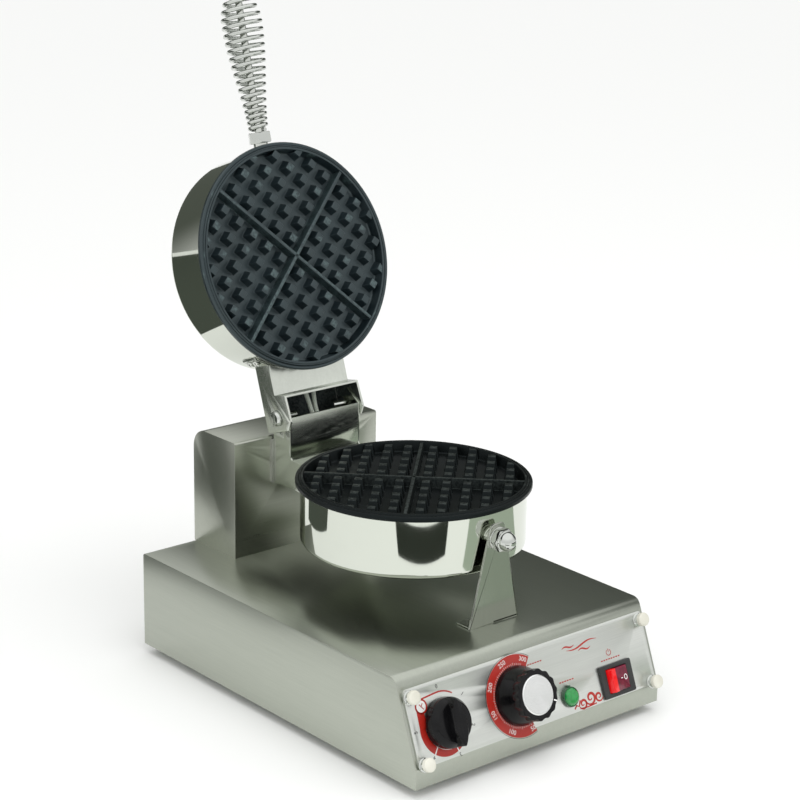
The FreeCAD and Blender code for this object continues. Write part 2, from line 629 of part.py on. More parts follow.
def lower_bracket():
    cheeks = [cheek(cheek_half - cheek_sheet, cheek_half), cheek(-cheek_half, cheek_sheet - cheek_half)]
    web = box(-cheek_half, cheek_half, cheek_front, cheek_front + cheek_sheet, leg_high - cheek_sheet, web_high)
    shelf = box(-cheek_half, cheek_half, 60, cheek_front + cheek_sheet, leg_high - cheek_sheet, leg_high)
    back = box(-cheek_half, cheek_half, cheek_back - cheek_sheet, cheek_back, cheek_low, leg_high + 10)
    whole = behind_pan(fused(cheeks[0], cheeks[1], web, shelf, back), ring_gap)
    whole = fused(whole, curved_flange(cheek_half, cheek_low, leg_high))
    pivot = rod(knob_shaft + 0.05, Vector(-60, hinge_y, hinge_z), Vector(60, hinge_y, hinge_z))
    bolts = [rod(2.6, Vector(x, cheek_back - 6, z), Vector(x, cheek_back + 6, z)) for x, z in hinge_bolt_spots]
    ports = [box(-9, 9, shell_radius - 6, shell_radius + 8, lower_face - 27, lower_face - 15),
             box(-8, 8, cheek_back - 6, cheek_back + 6, 150, 164)]
    return cut(whole, pivot, *(bolts + pan_screw_holes + ports))


save("lower_hinge_bracket", lower_bracket())
back_plate = front_slab([(-37.9, back_plate_low, 2), (37.9, back_plate_low, 2), (37.9, back_plate_high, 2),
                         (-37.9, back_plate_high, 2)], cheek_back + 0.02, column_front - 0.02)
save("hinge_back_plate", cut(back_plate, box(-8, 8, cheek_back - 2, column_front + 2, 150, 164),
                             *[rod(2.6, Vector(x, cheek_back - 6, z), Vector(x, cheek_back + 6, z))
                               for x, z in hinge_bolt_spots]))
hinge_bolt = moved(pan_head_screw(2.5, 4.6, 3.0, 7.5), Vector(), X, 90)
hinge_bolts = [moved(hinge_bolt, Vector(x, cheek_back - cheek_sheet - 0.02, z)) for x, z in hinge_bolt_spots]
hinge_nut = hex_prism(8, Vector(0, column_front + sheet + 0.02, 0), Vector(0, column_front + sheet + 4, 0), 2.52)
save("hinge_bolts", *(hinge_bolts + [moved(hinge_nut, Vector(x, 0, z)) for x, z in hinge_bolt_spots]))
pan_screw = pan_head_screw(2.0, 3.6, 2.0, 4.6)
save("lower_pan_screws", *[moved(pan_screw, shell_spot(x, z, ring_gap + flange_sheet + 0.15),
                                 Vector(-shell_spot(x, z).y, x, 0), 90) for x, z in pan_screw_spots])


def pivot_screw(side):
    """Shouldered screw: slotted head, bearing shoulder in the lid arm, thread through the cheek."""
    body = spun([(0, 0), (0, 22), (3.0, 22), (3.0, 5.5), (pivot_radius, 5.5), (pivot_radius, 3.0),
                 (6.2, 3.0), (6.2, 1.6), (4.6, 0)])
    body = body.cut(box(-7, 7, -0.7, 0.7, -1, 1.4))
    seat = side * (arm_half + 0.35 + 3.0)
    return moved(body, Vector(seat, hinge_y, hinge_z), Y, -90 * side)


save("pivot_screws", pivot_screw(-1), pivot_screw(1))
nut_face = cheek_half - cheek_sheet - 0.02
save("pivot_nuts", *[hex_prism(10, Vector(side * nut_face, hinge_y, hinge_z),
                               Vector(side * (nut_face - 5), hinge_y, hinge_z), 3.02) for side in (-1, 1)])

# ---- lid: pan, arm and handle, drawn closed

arm_low, arm_high = 18.0, 36.0       # arm's flange above the lid's face
ear_outline = [(-60, 15.0), (-60, -2.7), (-18.4, -2.7), (-16.6, -15.9), (4.9, -17.2, 2), (11.3, -11.8, 2),
               (10.8, 16.0, 2)]
web_sheet = 1.6


def about_hinge(corners):
    return [(hinge_y + c[0], hinge_z + c[1]) + tuple(c[2:]) for c in corners]


def lid_arm():
    ears = [side_slab(about_hinge(ear_outline), arm_half - arm_sheet, arm_half),
            side_slab(about_hinge(ear_outline), -arm_half, arm_sheet - arm_half)]
    web = side_slab(about_hinge([(-60, -2.7), (-18.4, -2.7), (-16.6, -15.9), (-15.1, -15.9), (-16.9, -1.1),
                                 (-60, -1.1)]), -arm_half, arm_half)
    whole = behind_pan(fused(ears[0], ears[1], web), ring_gap)
    whole = fused(whole, curved_flange(arm_half + 11, upper_face + arm_low, upper_face + arm_high))
    whole = cut(whole, side_slab(about_hinge([(-60, -1.1), (-15, -1.1), (-15, 14), (-60, 14)]), -7, 7))
    bearing = rod(pivot_radius + pivot_play, Vector(-60, hinge_y, hinge_z), Vector(60, hinge_y, hinge_z))
    return cut(whole, bearing, *arm_screw_holes)


arm_screw_spots = [(sx * x, upper_face + z) for sx in (-1, 1) for x, z in ((44, 23), (44, 31))]
arm_screw_holes = [rod(2.05, shell_spot(x, z, -5), shell_spot(x, z, 5)) for x, z in arm_screw_spots]
lid_wire_hole = box(-7.5, 7.5, shell_radius - 8, shell_radius + 4, upper_face + 20, upper_face + 31)

tilt = math.radians(handle_tilt)
handle_dir = Vector(0, -math.cos(tilt), -math.sin(tilt))
handle_start = Vector(0, -handle_root, upper_face + handle_back)


def along_handle(distance, out=0.0, turn=0.0):
    """Point at a distance up the handle's axis, out from it and turned round it."""
    raised = Vector(0, -math.sin(tilt), math.cos(tilt))
    return handle_start + handle_dir * distance + X * (out * math.cos(turn)) + raised * (out * math.sin(turn))


handle_hole = rod(rod_radius + 0.05, along_handle(-14), along_handle(0))
shell_up = moved(pan_shell(), Vector(0, 0, upper_face), X, 180)
save("upper_pan_shell", opened(cut(shell_up, handle_hole, lid_wire_hole, *arm_screw_holes)))
save("upper_waffle_plate", upper(waffle_plate()))
save("upper_heating_element", upper(moved(heating_element(), Vector(), Z, 180)))
save("upper_clamp_plate", upper(moved(clamp_plate(), Vector(), Z, 180)))
save("upper_clamp_bolts", *[upper(moved(bolt, Vector(), Z, 180)) for bolt in clamp_bolts()])
save("upper_insulation", upper(moved(insulation(), Vector(), Z, 180)))
save("lid_arm", opened(lid_arm()))
save("arm_screws", *[opened(moved(pan_screw, shell_spot(x, z, ring_gap + flange_sheet + 0.15),
                                  Vector(-shell_spot(x, z).y, x, 0), 90)) for x, z in arm_screw_spots])

collar = cut(rod(6.0, along_handle(-9), along_handle(0)),
             Part.makeCylinder(shell_radius + 0.05, 400), rod(rod_radius + 0.02, along_handle(-20), along_handle(1)))
save("handle_collar", opened(collar))
save("handle_root_nut", opened(hex_prism(17.0, along_handle(0.02), along_handle(9), rod_radius + 0.02)))
bolt_seat = -8.08                    # flat head inside the shell, level with the stud's
bolt = fused(rod(rod_radius, along_handle(bolt_seat), along_handle(handle_length + 3)),
             rod(4.6, along_handle(bolt_seat - 1.3), along_handle(bolt_seat)))
save("handle_rod", opened(bolt))
cap_nut = spun([(rod_radius + 0.02, 0), (7.2, 0), (7.2, 1.2), (6.0, 2.0), (6.0, 5.0, 2.5), (0, 7.5),
                (0, 3.2), (rod_radius + 0.02, 3.2)])
cap_nut.Placement = Placement(along_handle(handle_length), Rotation(Z, handle_dir))
save("handle_cap_nut", opened(cap_nut))


def coil_radius(distance):
    """Outer radius of the grip: slim at the root, fullest near the far end, closing at the tip."""
    slim, full, swell_from, fullest = 8.5, 17.0, 12.0, 98.0
    if distance > fullest:
        return full * math.cos(math.pi / 2 * (distance - fullest) / 36.0)
    swell = max(0.0, (distance - swell_from) / (fullest - swell_from))
    return slim + (full - slim) * math.sin(math.pi / 2 * swell) ** 1.6


def handle_coil():
    """Open coil wound from one wire, closer at the root; ruled between six-sided sections."""
    sides, steps = 6, 12
    close_turns, close_pitch = 4, 4.5
    begin = 9.0 + coil_wire
    finish = handle_length - coil_wire
    open_turns = 15
    open_pitch = (finish - begin - close_turns * close_pitch) / open_turns
    sections = []
    for k in range((close_turns + open_turns) * steps + 1):
        turns = k / steps
        distance = begin + close_pitch * min(turns, close_turns) + open_pitch * max(0.0, turns - close_turns)
        turn = 2 * math.pi * turns
        middle = coil_radius(distance) - coil_wire
        points = []
        for s in range(sides):
            angle = 2 * math.pi * s / sides
            points.append(along_handle(distance + coil_wire * math.sin(angle),
                                       middle + coil_wire * math.cos(angle), turn))
        sections.append(Part.makePolygon(points + points[:1]))
    return Part.makeLoft(sections, True, True)


save("handle_coil", opened(handle_coil()))

# ---- heater leads that pass the hinge: one sleeve pair on each side of the axis

lead_radius = 1.8


def lead(points):
    pieces = [rod(lead_radius, a, b) for a, b in zip(points, points[1:])]
    joints = [Part.makeSphere(lead_radius, p) for p in points[1:-1]]
    return fused(pieces[0], *(pieces[1:] + joints))


lower_leads = [lead([Vector(side * 2.4, hinge_y - 3, 152), Vector(side * 2.4, hinge_y - 3, 182),
                     Vector(side * 2.4, hinge_y - 1.5, hinge_z - 3.4)]) for side in (-1, 1)]
upper_leads = [lead([Vector(side * 2.4, hinge_y - 3.4, hinge_z + 2.6), Vector(side * 3.2, hinge_y - 14, hinge_z + 7.4),
                     Vector(side * 3.4, hinge_y - 30, hinge_z + 7.4)]) for side in (-1, 1)]
save("lower_heater_leads", *lower_leads)
save("upper_heater_leads", *[opened(piece) for piece in upper_leads])
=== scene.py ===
import bmesh
import bpy
import json
import math
import numpy as np
from mathutils import Matrix, Vector


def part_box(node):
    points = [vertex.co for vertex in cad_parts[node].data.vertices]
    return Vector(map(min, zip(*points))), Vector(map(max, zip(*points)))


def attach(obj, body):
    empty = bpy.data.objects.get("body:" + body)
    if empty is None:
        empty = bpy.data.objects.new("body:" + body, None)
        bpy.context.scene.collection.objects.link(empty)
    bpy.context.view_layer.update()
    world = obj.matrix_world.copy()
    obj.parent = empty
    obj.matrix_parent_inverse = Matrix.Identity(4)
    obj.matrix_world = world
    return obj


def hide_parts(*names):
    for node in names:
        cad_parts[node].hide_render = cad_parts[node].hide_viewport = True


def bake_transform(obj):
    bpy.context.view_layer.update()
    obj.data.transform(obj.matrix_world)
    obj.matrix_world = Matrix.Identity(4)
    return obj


# Single-head waffle baker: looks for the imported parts. Lengths are metres; mm() takes millimetres.

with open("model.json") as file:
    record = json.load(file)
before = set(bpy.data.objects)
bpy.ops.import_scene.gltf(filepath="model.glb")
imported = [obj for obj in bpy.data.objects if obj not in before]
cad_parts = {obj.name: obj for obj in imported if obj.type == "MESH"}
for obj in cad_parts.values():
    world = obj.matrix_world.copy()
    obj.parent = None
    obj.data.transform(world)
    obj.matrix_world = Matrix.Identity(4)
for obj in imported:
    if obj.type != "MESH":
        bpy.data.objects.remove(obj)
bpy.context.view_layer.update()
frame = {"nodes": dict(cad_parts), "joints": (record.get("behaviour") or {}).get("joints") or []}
joints = {joint["name"]: joint for joint in frame["joints"]}
xAxis, yAxis, zAxis = Vector((1, 0, 0)), Vector((0, 1, 0)), Vector((0, 0, 1))


def mm(*values):
    scaled = [v * 0.001 for v in values]
    return scaled[0] if len(scaled) == 1 else scaled


# places, read from the frame

def middle(node):
    low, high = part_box(node)
    return (low + high) / 2


panLow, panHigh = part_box("lower_waffle_plate")
panAxis = Vector((0, (panLow.y + panHigh.y) / 2, 0))
lowerFace = panHigh.z                                      # the lower plate's rim
partingGap = mm(1.4)
hinge = Vector(joints["lid_hinge"]["pos_m"])
openTurn = Matrix.Rotation(-math.radians(joints["lid_hinge"]["range_deg"][1]), 4, "X")
openLid = Matrix.Translation(hinge) @ openTurn @ Matrix.Translation(-hinge)

lowerPan = Matrix.Translation((0, panAxis.y, lowerFace))   # waffle face at z = 0, body below
lidFace = openLid @ Matrix.Translation((0, panAxis.y, lowerFace + partingGap))
upperPan = lidFace @ Matrix.Rotation(math.pi, 4, "X")

panelOut = -Vector(joints["timer_turn"]["axis"]).normalized()
panelUp = panelOut.cross(xAxis)
timerSpot = Vector(joints["timer_turn"]["pos_m"])
thermostatSpot = Vector(joints["thermostat_turn"]["pos_m"])


def frameAt(spot, xDir, yDir, zDir):
    place = Matrix((xDir, yDir, zDir)).transposed().to_4x4()
    return Matrix.Translation(spot) @ place


# X to the right, Y up the slope, Z out of the panel.
def panelFrame(spot):
    return frameAt(spot, xAxis, panelUp, panelOut)


# mesh tools

# Quads between neighbours of a rows by columns grid of points.
def gridFaces(rows, columns, wrapRows=False, wrapColumns=False):
    r, c = np.meshgrid(np.arange(rows if wrapRows else rows - 1),
                       np.arange(columns if wrapColumns else columns - 1), indexing="ij")
    rNext, cNext = (r + 1) % rows, (c + 1) % columns
    return np.stack([r * columns + c, r * columns + cNext, rNext * columns + cNext, rNext * columns + c],
                    -1).reshape(-1, 4)


# Points multiplied by a 4 by 4 place.
def moved(points, place):
    turn = np.array(place.to_3x3())
    return points @ turn.T + np.array(place.translation)


def placed(part, place):
    return moved(part[0], place), part[1]


# Polyline through (a, b) corners in mm; a third number rounds that corner with an arc.
def roundedLine(corners, steps=5):
    points = []
    for i, corner in enumerate(corners):
        here = np.array(corner[:2], float)
        if len(corner) == 2 or i in (0, len(corners) - 1):
            points.append(here)
            continue
        before = np.array(corners[i - 1][:2], float) - here
        after = np.array(corners[i + 1][:2], float) - here
        before /= np.linalg.norm(before)
        after /= np.linalg.norm(after)
        half = math.acos(float(np.clip(before @ after, -1, 1))) / 2
        reach = corner[2] / math.tan(half)
        inward = (before + after) / np.linalg.norm(before + after)
        centre = here + inward * corner[2] / math.sin(half)
        start, stop = here + before * reach - centre, here + after * reach - centre
        turn = math.atan2(start[0] * stop[1] - start[1] * stop[0], float(start @ stop))
        a = np.linspace(0, turn, steps + 1)[:, None]
        side = np.array([-start[1], start[0]])
        points.extend(centre + start * np.cos(a) + side * np.sin(a))
    return np.array(points) * 0.001


# A (radius, height) profile turned round Z: x = r cos a, y = r sin a, z = h.
def spun(corners, segments=96, steps=5, closed=False):
    profile = roundedLine(corners, steps)
    a = np.linspace(0, 2 * np.pi, segments, endpoint=False)
    r, h = profile[:, 0][:, None], profile[:, 1][:, None]
    points = np.stack([r * np.cos(a), r * np.sin(a), h + 0 * a], -1).reshape(-1, 3)
    return points, gridFaces(len(profile), segments, wrapRows=closed, wrapColumns=True)


# A round section carried along a path: path + radius (n cos s + b sin s), closed by its two end points.
def swept(path, normals, binormals, radius, sides=12):
    s = np.linspace(0, 2 * np.pi, sides, endpoint=False)[None, :, None]
    radius = np.broadcast_to(np.asarray(radius, float), len(path))[:, None, None]
    rings = path[:, None] + radius * (normals[:, None] * np.cos(s) + binormals[:, None] * np.sin(s))
    ends = [np.repeat(path[i][None, None], sides, 1) for i in (0, -1)]
    points = np.concatenate([ends[0], rings, ends[1]], 0)
    return points.reshape(-1, 3), gridFaces(len(path) + 2, sides, wrapColumns=True)


# Unit normals and binormals of a path, both square to it, from a side direction that it never follows.
def alongPath(path, side):
    tangent = np.gradient(path, axis=0)
    tangent /= np.linalg.norm(tangent, axis=1)[:, None]
    normal = side - (tangent @ side)[:, None] * tangent
    normal /= np.linalg.norm(normal, axis=1)[:, None]
    return normal, np.cross(tangent, normal)


# A flat (x, y) outline in metres made a solid from z0 to z1.
def slab(outline, z0, z1):
    count = len(outline)
    low = np.column_stack([outline, np.full(count, z0)])
    high = np.column_stack([outline, np.full(count, z1)])
    ring = np.arange(count)
    walls = np.stack([ring, (ring + 1) % count, (ring + 1) % count + count, ring + count], -1)
    return np.concatenate([low, high]), [list(ring[::-1]), list(ring + count)] + walls.tolist()


# A flat ribbon between two open (x, y) lines with the same count, made a solid from z0 to z1.
def strip(inner, outer, z0, z1):
    count = len(inner)
    layers = [np.column_stack([line, np.full(count, z)]) for line, z in
              ((inner, z0), (outer, z0), (outer, z1), (inner, z1))]
    points = np.stack(layers, 1).reshape(-1, 3)
    ends = [[3, 2, 1, 0], [4 * count - 4, 4 * count - 3, 4 * count - 2, 4 * count - 1]]
    return points, gridFaces(count, 4, wrapColumns=True).tolist() + ends


# A ring sector between two radii, angles in degrees; a radius may be an array along the sector.
def ring(radiusIn, radiusOut, start, stop, z0, z1, steps=60):
    a = np.radians(np.linspace(start, stop, steps))
    direction = np.column_stack([np.cos(a), np.sin(a)])
    rIn = np.broadcast_to(np.asarray(radiusIn, float), steps)[:, None]
    rOut = np.broadcast_to(np.asarray(radiusOut, float), steps)[:, None]
    return strip(direction * rIn, direction * rOut, z0, z1)


# Doubles merged, faces turned outwards, smooth except across sharp folds.
def finishMesh(mesh, sharp):
    work = bmesh.new()
    work.from_mesh(mesh)
    bmesh.ops.remove_doubles(work, verts=work.verts, dist=2e-7)
    bmesh.ops.dissolve_degenerate(work, dist=1e-8, edges=work.edges)
    bmesh.ops.recalc_face_normals(work, faces=work.faces)
    work.to_mesh(mesh)
    work.free()
    mesh.shade_smooth()
    mesh.set_sharp_from_angle(angle=math.radians(sharp))


# One piece from (points, faces) parts; it rides on a body and stands for the nodes it replaces.
def addPiece(name, parts, body, material, replaced=(), sharp=32.0):
    points, faces, start = [], [], 0
    for partPoints, partFaces in parts:
        points.append(np.asarray(partPoints, float))
        faces.extend([[v + start for v in face] for face in
                      (partFaces.tolist() if isinstance(partFaces, np.ndarray) else partFaces)])
        start += len(partPoints)
    mesh = bpy.data.meshes.new(name)
    mesh.from_pydata(np.concatenate(points).tolist(), [], faces)
    finishMesh(mesh, sharp)
    mesh.materials.append(material)
    piece = bpy.data.objects.new(name, mesh)
    bpy.context.scene.collection.objects.link(piece)
    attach(piece, body)
    if replaced:
        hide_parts(*replaced)
    return piece


# The node's own shape with its sharp edges rounded over, moved by shift where one is given; it stands for it.
def bevelledCopy(node, body, material, width, segments=2, sharp=30.0, shift=None):
    mesh = frame["nodes"][node].data.copy()
    if shift is not None:
        mesh.transform(shift)
    mesh.name = node + "Edged"
    mesh.materials.clear()
    mesh.materials.append(material)
    work = bmesh.new()
    work.from_mesh(mesh)
    bmesh.ops.remove_doubles(work, verts=work.verts, dist=2e-6)
    bmesh.ops.dissolve_degenerate(work, dist=1e-6, edges=work.edges)
    bmesh.ops.dissolve_limit(work, angle_limit=math.radians(0.6), verts=work.verts, edges=work.edges)
    for face in work.faces:
        face.material_index = 0
    work.to_mesh(mesh)
    work.free()
    mesh.shade_smooth()
    piece = bpy.data.objects.new(node + "Edged", mesh)
    bpy.context.scene.collection.objects.link(piece)
    bevel = piece.modifiers.new("edges", "BEVEL")
    bevel.width = width
    bevel.segments = segments
    bevel.limit_method = "ANGLE"
    bevel.angle_limit = math.radians(sharp)
    bevel.harden_normals = True
    bevel.use_clamp_overlap = True
    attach(piece, body)
    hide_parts(node)
    return piece


# Letters as a thin solid, centred on the place's origin.
def textPart(words, size, place, thick=0.00006):
    curve = bpy.data.curves.new("letters", "FONT")
    curve.body = words
    curve.size = size
    curve.align_x, curve.align_y = "CENTER", "CENTER"
    curve.extrude = thick / 2
    curve.resolution_u = 3
    holder = bpy.data.objects.new("letters", curve)
    bpy.context.scene.collection.objects.link(holder)
    bpy.context.view_layer.update()
    mesh = bpy.data.meshes.new_from_object(holder.evaluated_get(bpy.context.evaluated_depsgraph_get()))
    points = np.zeros(len(mesh.vertices) * 3)
    mesh.vertices.foreach_get("co", points)
    faces = [list(polygon.vertices) for polygon in mesh.polygons]
    bpy.data.objects.remove(holder)
    bpy.data.curves.remove(curve)
    bpy.data.meshes.remove(mesh)
    return moved(points.reshape(-1, 3), place), faces


# shader node groups, shared by the materials

def newGroup(name, inputs, outputs):
    group = bpy.data.node_groups.new(name, "ShaderNodeTree")
    for label, kind, value in inputs:
        socket = group.interface.new_socket(label, in_out="INPUT", socket_type=kind)
        if value is not None:
            socket.default_value = value
    for label, kind in outputs:
        group.interface.new_socket(label, in_out="OUTPUT", socket_type=kind)
    return group, group.nodes.new("NodeGroupInput"), group.nodes.new("NodeGroupOutput")


# A socket is linked; a plain value is set.
def feed(tree, value, socket):
    if isinstance(value, bpy.types.NodeSocket):
        tree.links.new(value, socket)
    else:
        socket.default_value = value


def mathNode(tree, operation, first, second, clamp=False):
    node = tree.nodes.new("ShaderNodeMath")
    node.operation = operation
    node.use_clamp = clamp
    feed(tree, first, node.inputs[0])
    feed(tree, second, node.inputs[1])
    return node.outputs[0]


def times(tree, first, second):
    return mathNode(tree, "MULTIPLY", first, second)


def plus(tree, first, second, clamp=False):
    return mathNode(tree, "ADD", first, second, clamp)


def noiseNode(tree, vector, scale, detail=3.0, roughness=0.5):
    node = tree.nodes.new("ShaderNodeTexNoise")
    node.inputs["Detail"].default_value = detail
    node.inputs["Roughness"].default_value = roughness
    tree.links.new(vector, node.inputs["Vector"])
    feed(tree, scale, node.inputs["Scale"])
    return node.outputs["Fac"]


def rampNode(tree, value, low, high, lowOut=0.0, highOut=1.0):
    node = tree.nodes.new("ShaderNodeMapRange")
    node.interpolation_type = "SMOOTHSTEP"
    for label, number in (("From Min", low), ("From Max", high), ("To Min", lowOut), ("To Max", highOut)):
        feed(tree, number, node.inputs[label])
    tree.links.new(value, node.inputs["Value"])
    return node.outputs["Result"]


def bumpNode(tree, height, distance):
    node = tree.nodes.new("ShaderNodeBump")
    node.inputs["Strength"].default_value = 1.0
    feed(tree, distance, node.inputs["Distance"])
    tree.links.new(height, node.inputs["Height"])
    return node.outputs["Normal"]


def mixColour(tree, mask, first, second):
    node = tree.nodes.new("ShaderNodeMix")
    node.data_type = "RGBA"
    tree.links.new(mask, node.inputs["Factor"])
    for label, value in (("A", first), ("B", second)):
        socket = [s for s in node.inputs if s.name == label and s.type == "RGBA"][0]
        feed(tree, value if isinstance(value, bpy.types.NodeSocket) else (*value, 1), socket)
    return [s for s in node.outputs if s.type == "RGBA"][0]


# Fine streaks: noise on coordinates that are pulled out along one direction by the mapping before it.
def buildBrushedGrain():
    group, given, result = newGroup(
        "brushedGrain",
        [("Vector", "NodeSocketVector", None), ("Streaks", "NodeSocketFloat", 900.0),
         ("Depth", "NodeSocketFloat", 0.00002)],
        [("Streak", "NodeSocketFloat"), ("Normal", "NodeSocketVector")])
    fine = noiseNode(group, given.outputs["Vector"], given.outputs["Streaks"], 4.0, 0.65)
    broad = noiseNode(group, given.outputs["Vector"], times(group, given.outputs["Streaks"], 0.17), 3.0)
    both = plus(group, times(group, fine, 0.65), times(group, broad, 0.35))
    group.links.new(both, result.inputs["Streak"])
    group.links.new(bumpNode(group, both, given.outputs["Depth"]), result.inputs["Normal"])
    return group


# Where hands and cloths have been: broad soft patches and small smears, as a mask from 0 to 1.
def buildHandling():
    group, given, result = newGroup(
        "handling", [("Vector", "NodeSocketVector", None), ("Size", "NodeSocketFloat", 9.0)],
        [("Patches", "NodeSocketFloat"), ("Smears", "NodeSocketFloat")])
    broad = noiseNode(group, given.outputs["Vector"], given.outputs["Size"], 2.0, 0.55)
    small = noiseNode(group, given.outputs["Vector"], times(group, given.outputs["Size"], 6.0), 5.0, 0.6)
    group.links.new(rampNode(group, broad, 0.35, 0.68), result.inputs["Patches"])
    group.links.new(rampNode(group, times(group, broad, small), 0.24, 0.42), result.inputs["Smears"])
    return group


# Edges made bright, as rubbed wear and as painted highlight: how far the surface bends, from its pointiness,
# broken up by noise.
def buildEdgeWear():
    group, given, result = newGroup(
        "edgeWearAndHighlight", [("Vector", "NodeSocketVector", None), ("Start", "NodeSocketFloat", 0.53),
                     ("Full", "NodeSocketFloat", 0.62), ("Scale", "NodeSocketFloat", 300.0)],
        [("Mask", "NodeSocketFloat")])
    bend = group.nodes.new("ShaderNodeNewGeometry").outputs["Pointiness"]
    edge = rampNode(group, bend, given.outputs["Start"], given.outputs["Full"])
    speckle = noiseNode(group, given.outputs["Vector"], given.outputs["Scale"], 4.0, 0.6)
    chips = rampNode(group, speckle, 0.35, 0.6)
    group.links.new(times(group, edge, chips), result.inputs["Mask"])
    return group


# Fine pebbled skin of a sprayed coating, with a slower waviness under it.
def buildCastSkin():
    group, given, result = newGroup(
        "castSkin", [("Vector", "NodeSocketVector", None), ("Scale", "NodeSocketFloat", 1800.0),
                     ("Depth", "NodeSocketFloat", 0.00003)],
        [("Grain", "NodeSocketFloat"), ("Normal", "NodeSocketVector")])
    pebbles = noiseNode(group, given.outputs["Vector"], given.outputs["Scale"], 3.0, 0.6)
    waves = noiseNode(group, given.outputs["Vector"], times(group, given.outputs["Scale"], 0.08), 2.0)
    both = plus(group, times(group, pebbles, 0.7), times(group, waves, 0.3))
    group.links.new(both, result.inputs["Grain"])
    group.links.new(bumpNode(group, both, given.outputs["Depth"]), result.inputs["Normal"])
    return group


brushedGrain, handling = buildBrushedGrain(), buildHandling()
edgeWearAndHighlight, castSkin = buildEdgeWear(), buildCastSkin()
print("node groups made")


# materials

def startMaterial(name):
    material = bpy.data.materials.new(name)
    material.use_nodes = True
    tree = material.node_tree
    shader = tree.nodes["Principled BSDF"]
    place = tree.nodes.new("ShaderNodeTexCoord").outputs["Object"]
    return material, tree, shader, place


def useGroup(tree, group, vector, **values):
    node = tree.nodes.new("ShaderNodeGroup")
    node.node_tree = group
    tree.links.new(vector, node.inputs["Vector"])
    for label, value in values.items():
        node.inputs[label].default_value = value
    return node.outputs


def stretched(tree, vector, scale):
    node = tree.nodes.new("ShaderNodeMapping")
    node.inputs["Scale"].default_value = scale
    tree.links.new(vector, node.inputs["Vector"])
    return node.outputs["Vector"]


# Grained sheet: streaks along the direction whose stretch is smallest, and faint hand marks.
def brushedSteel(name, colour, roughness, stretch, depth=0.000012, streaks=1400.0, spread=0.1):
    material, tree, shader, place = startMaterial(name)
    grain = useGroup(tree, brushedGrain, stretched(tree, place, stretch), Streaks=streaks, Depth=depth)
    marks = useGroup(tree, handling, place)
    shade = rampNode(tree, grain["Streak"], 0.3, 0.7, 0.0, 1.0)
    dark = tuple(c * 0.92 for c in colour)
    base = mixColour(tree, shade, dark, colour)
    base = mixColour(tree, times(tree, marks["Smears"], 0.06), base, tuple(c * 0.86 for c in colour))
    tree.links.new(base, shader.inputs["Base Color"])
    rough = plus(tree, times(tree, grain["Streak"], spread), roughness - spread / 2)
    rough = plus(tree, rough, times(tree, marks["Patches"], spread * 0.2), clamp=True)
    tree.links.new(rough, shader.inputs["Roughness"])
    tree.links.new(grain["Normal"], shader.inputs["Normal"])
    shader.inputs["Metallic"].default_value = 1.0
    return material


# Mirror polish: faint polishing haze, hand marks and a very slight unevenness.
def polishedSteel(name, colour, roughness, ripple=0.0000015):
    material, tree, shader, place = startMaterial(name)
    marks = useGroup(tree, handling, place, Size=14.0)
    haze = noiseNode(tree, place, 420.0, 4.0, 0.6)
    base = mixColour(tree, times(tree, marks["Smears"], 0.15), colour, tuple(c * 0.88 for c in colour))
    tree.links.new(base, shader.inputs["Base Color"])
    rough = plus(tree, times(tree, haze, roughness * 0.8), roughness * 0.6)
    rough = plus(tree, rough, times(tree, marks["Patches"], roughness * 0.7))
    tree.links.new(rough, shader.inputs["Roughness"])
    tree.links.new(bumpNode(tree, noiseNode(tree, place, 60.0, 2.0), ripple), shader.inputs["Normal"])
    shader.inputs["Metallic"].default_value = 1.0
    return material


# Moulded plastic: fine skin, slightly paler where handled.
def mouldedPlastic(name, colour, roughness, coat=0.0, depth=0.000008, scale=2600.0, mirror=0.5):
    material, tree, shader, place = startMaterial(name)
    skin = useGroup(tree, castSkin, place, Scale=scale, Depth=depth)
    marks = useGroup(tree, handling, place, Size=40.0)
    rubbedAndLitEdges = useGroup(tree, edgeWearAndHighlight, place, Start=0.54, Full=0.7)
    lighter = tuple(min(1, c * 1.6 + 0.012) for c in colour)
    base = mixColour(tree, times(tree, marks["Patches"], 0.35), colour, lighter)
    base = mixColour(tree, times(tree, rubbedAndLitEdges["Mask"], 0.5), base, lighter)
    tree.links.new(base, shader.inputs["Base Color"])
    rough = plus(tree, times(tree, skin["Grain"], 0.12), roughness - 0.06)
    rough = plus(tree, rough, times(tree, marks["Smears"], 0.1))
    tree.links.new(rough, shader.inputs["Roughness"])
    tree.links.new(skin["Normal"], shader.inputs["Normal"])
    shader.inputs["Specular IOR Level"].default_value = mirror
    shader.inputs["Coat Weight"].default_value = coat
    shader.inputs["Coat Roughness"].default_value = 0.08
    return material


# Black baked coating on cast metal: pebbled, satin, with the sheen colour laid on its edges as painted
# highlight.
def nonstickCoating(name, colour, sheen, density, mirror):
    material, tree, shader, place = startMaterial(name)
    skin = useGroup(tree, castSkin, place, Scale=1500.0, Depth=0.00003)
    marks = useGroup(tree, handling, place, Size=22.0)
    rubbedAndLitEdges = useGroup(tree, edgeWearAndHighlight, place, Start=0.52, Full=0.6, Scale=500.0)
    base = mixColour(tree, marks["Patches"], colour, tuple(c * 1.5 for c in colour))
    # Painted highlight: the sheen colour on the edges and peg rims.
    base = mixColour(tree, times(tree, rubbedAndLitEdges["Mask"], 0.55), base, sheen)
    tree.links.new(base, shader.inputs["Base Color"])
    rough = plus(tree, times(tree, skin["Grain"], 0.2), 0.24)
    rough = plus(tree, rough, times(tree, marks["Smears"], 0.12))
    tree.links.new(rough, shader.inputs["Roughness"])
    tree.links.new(skin["Normal"], shader.inputs["Normal"])
    shader.inputs["IOR"].default_value = density
    shader.inputs["Specular IOR Level"].default_value = mirror
    shader.inputs["Specular Tint"].default_value = (0.80, 0.97, 1.0, 1)
    return material


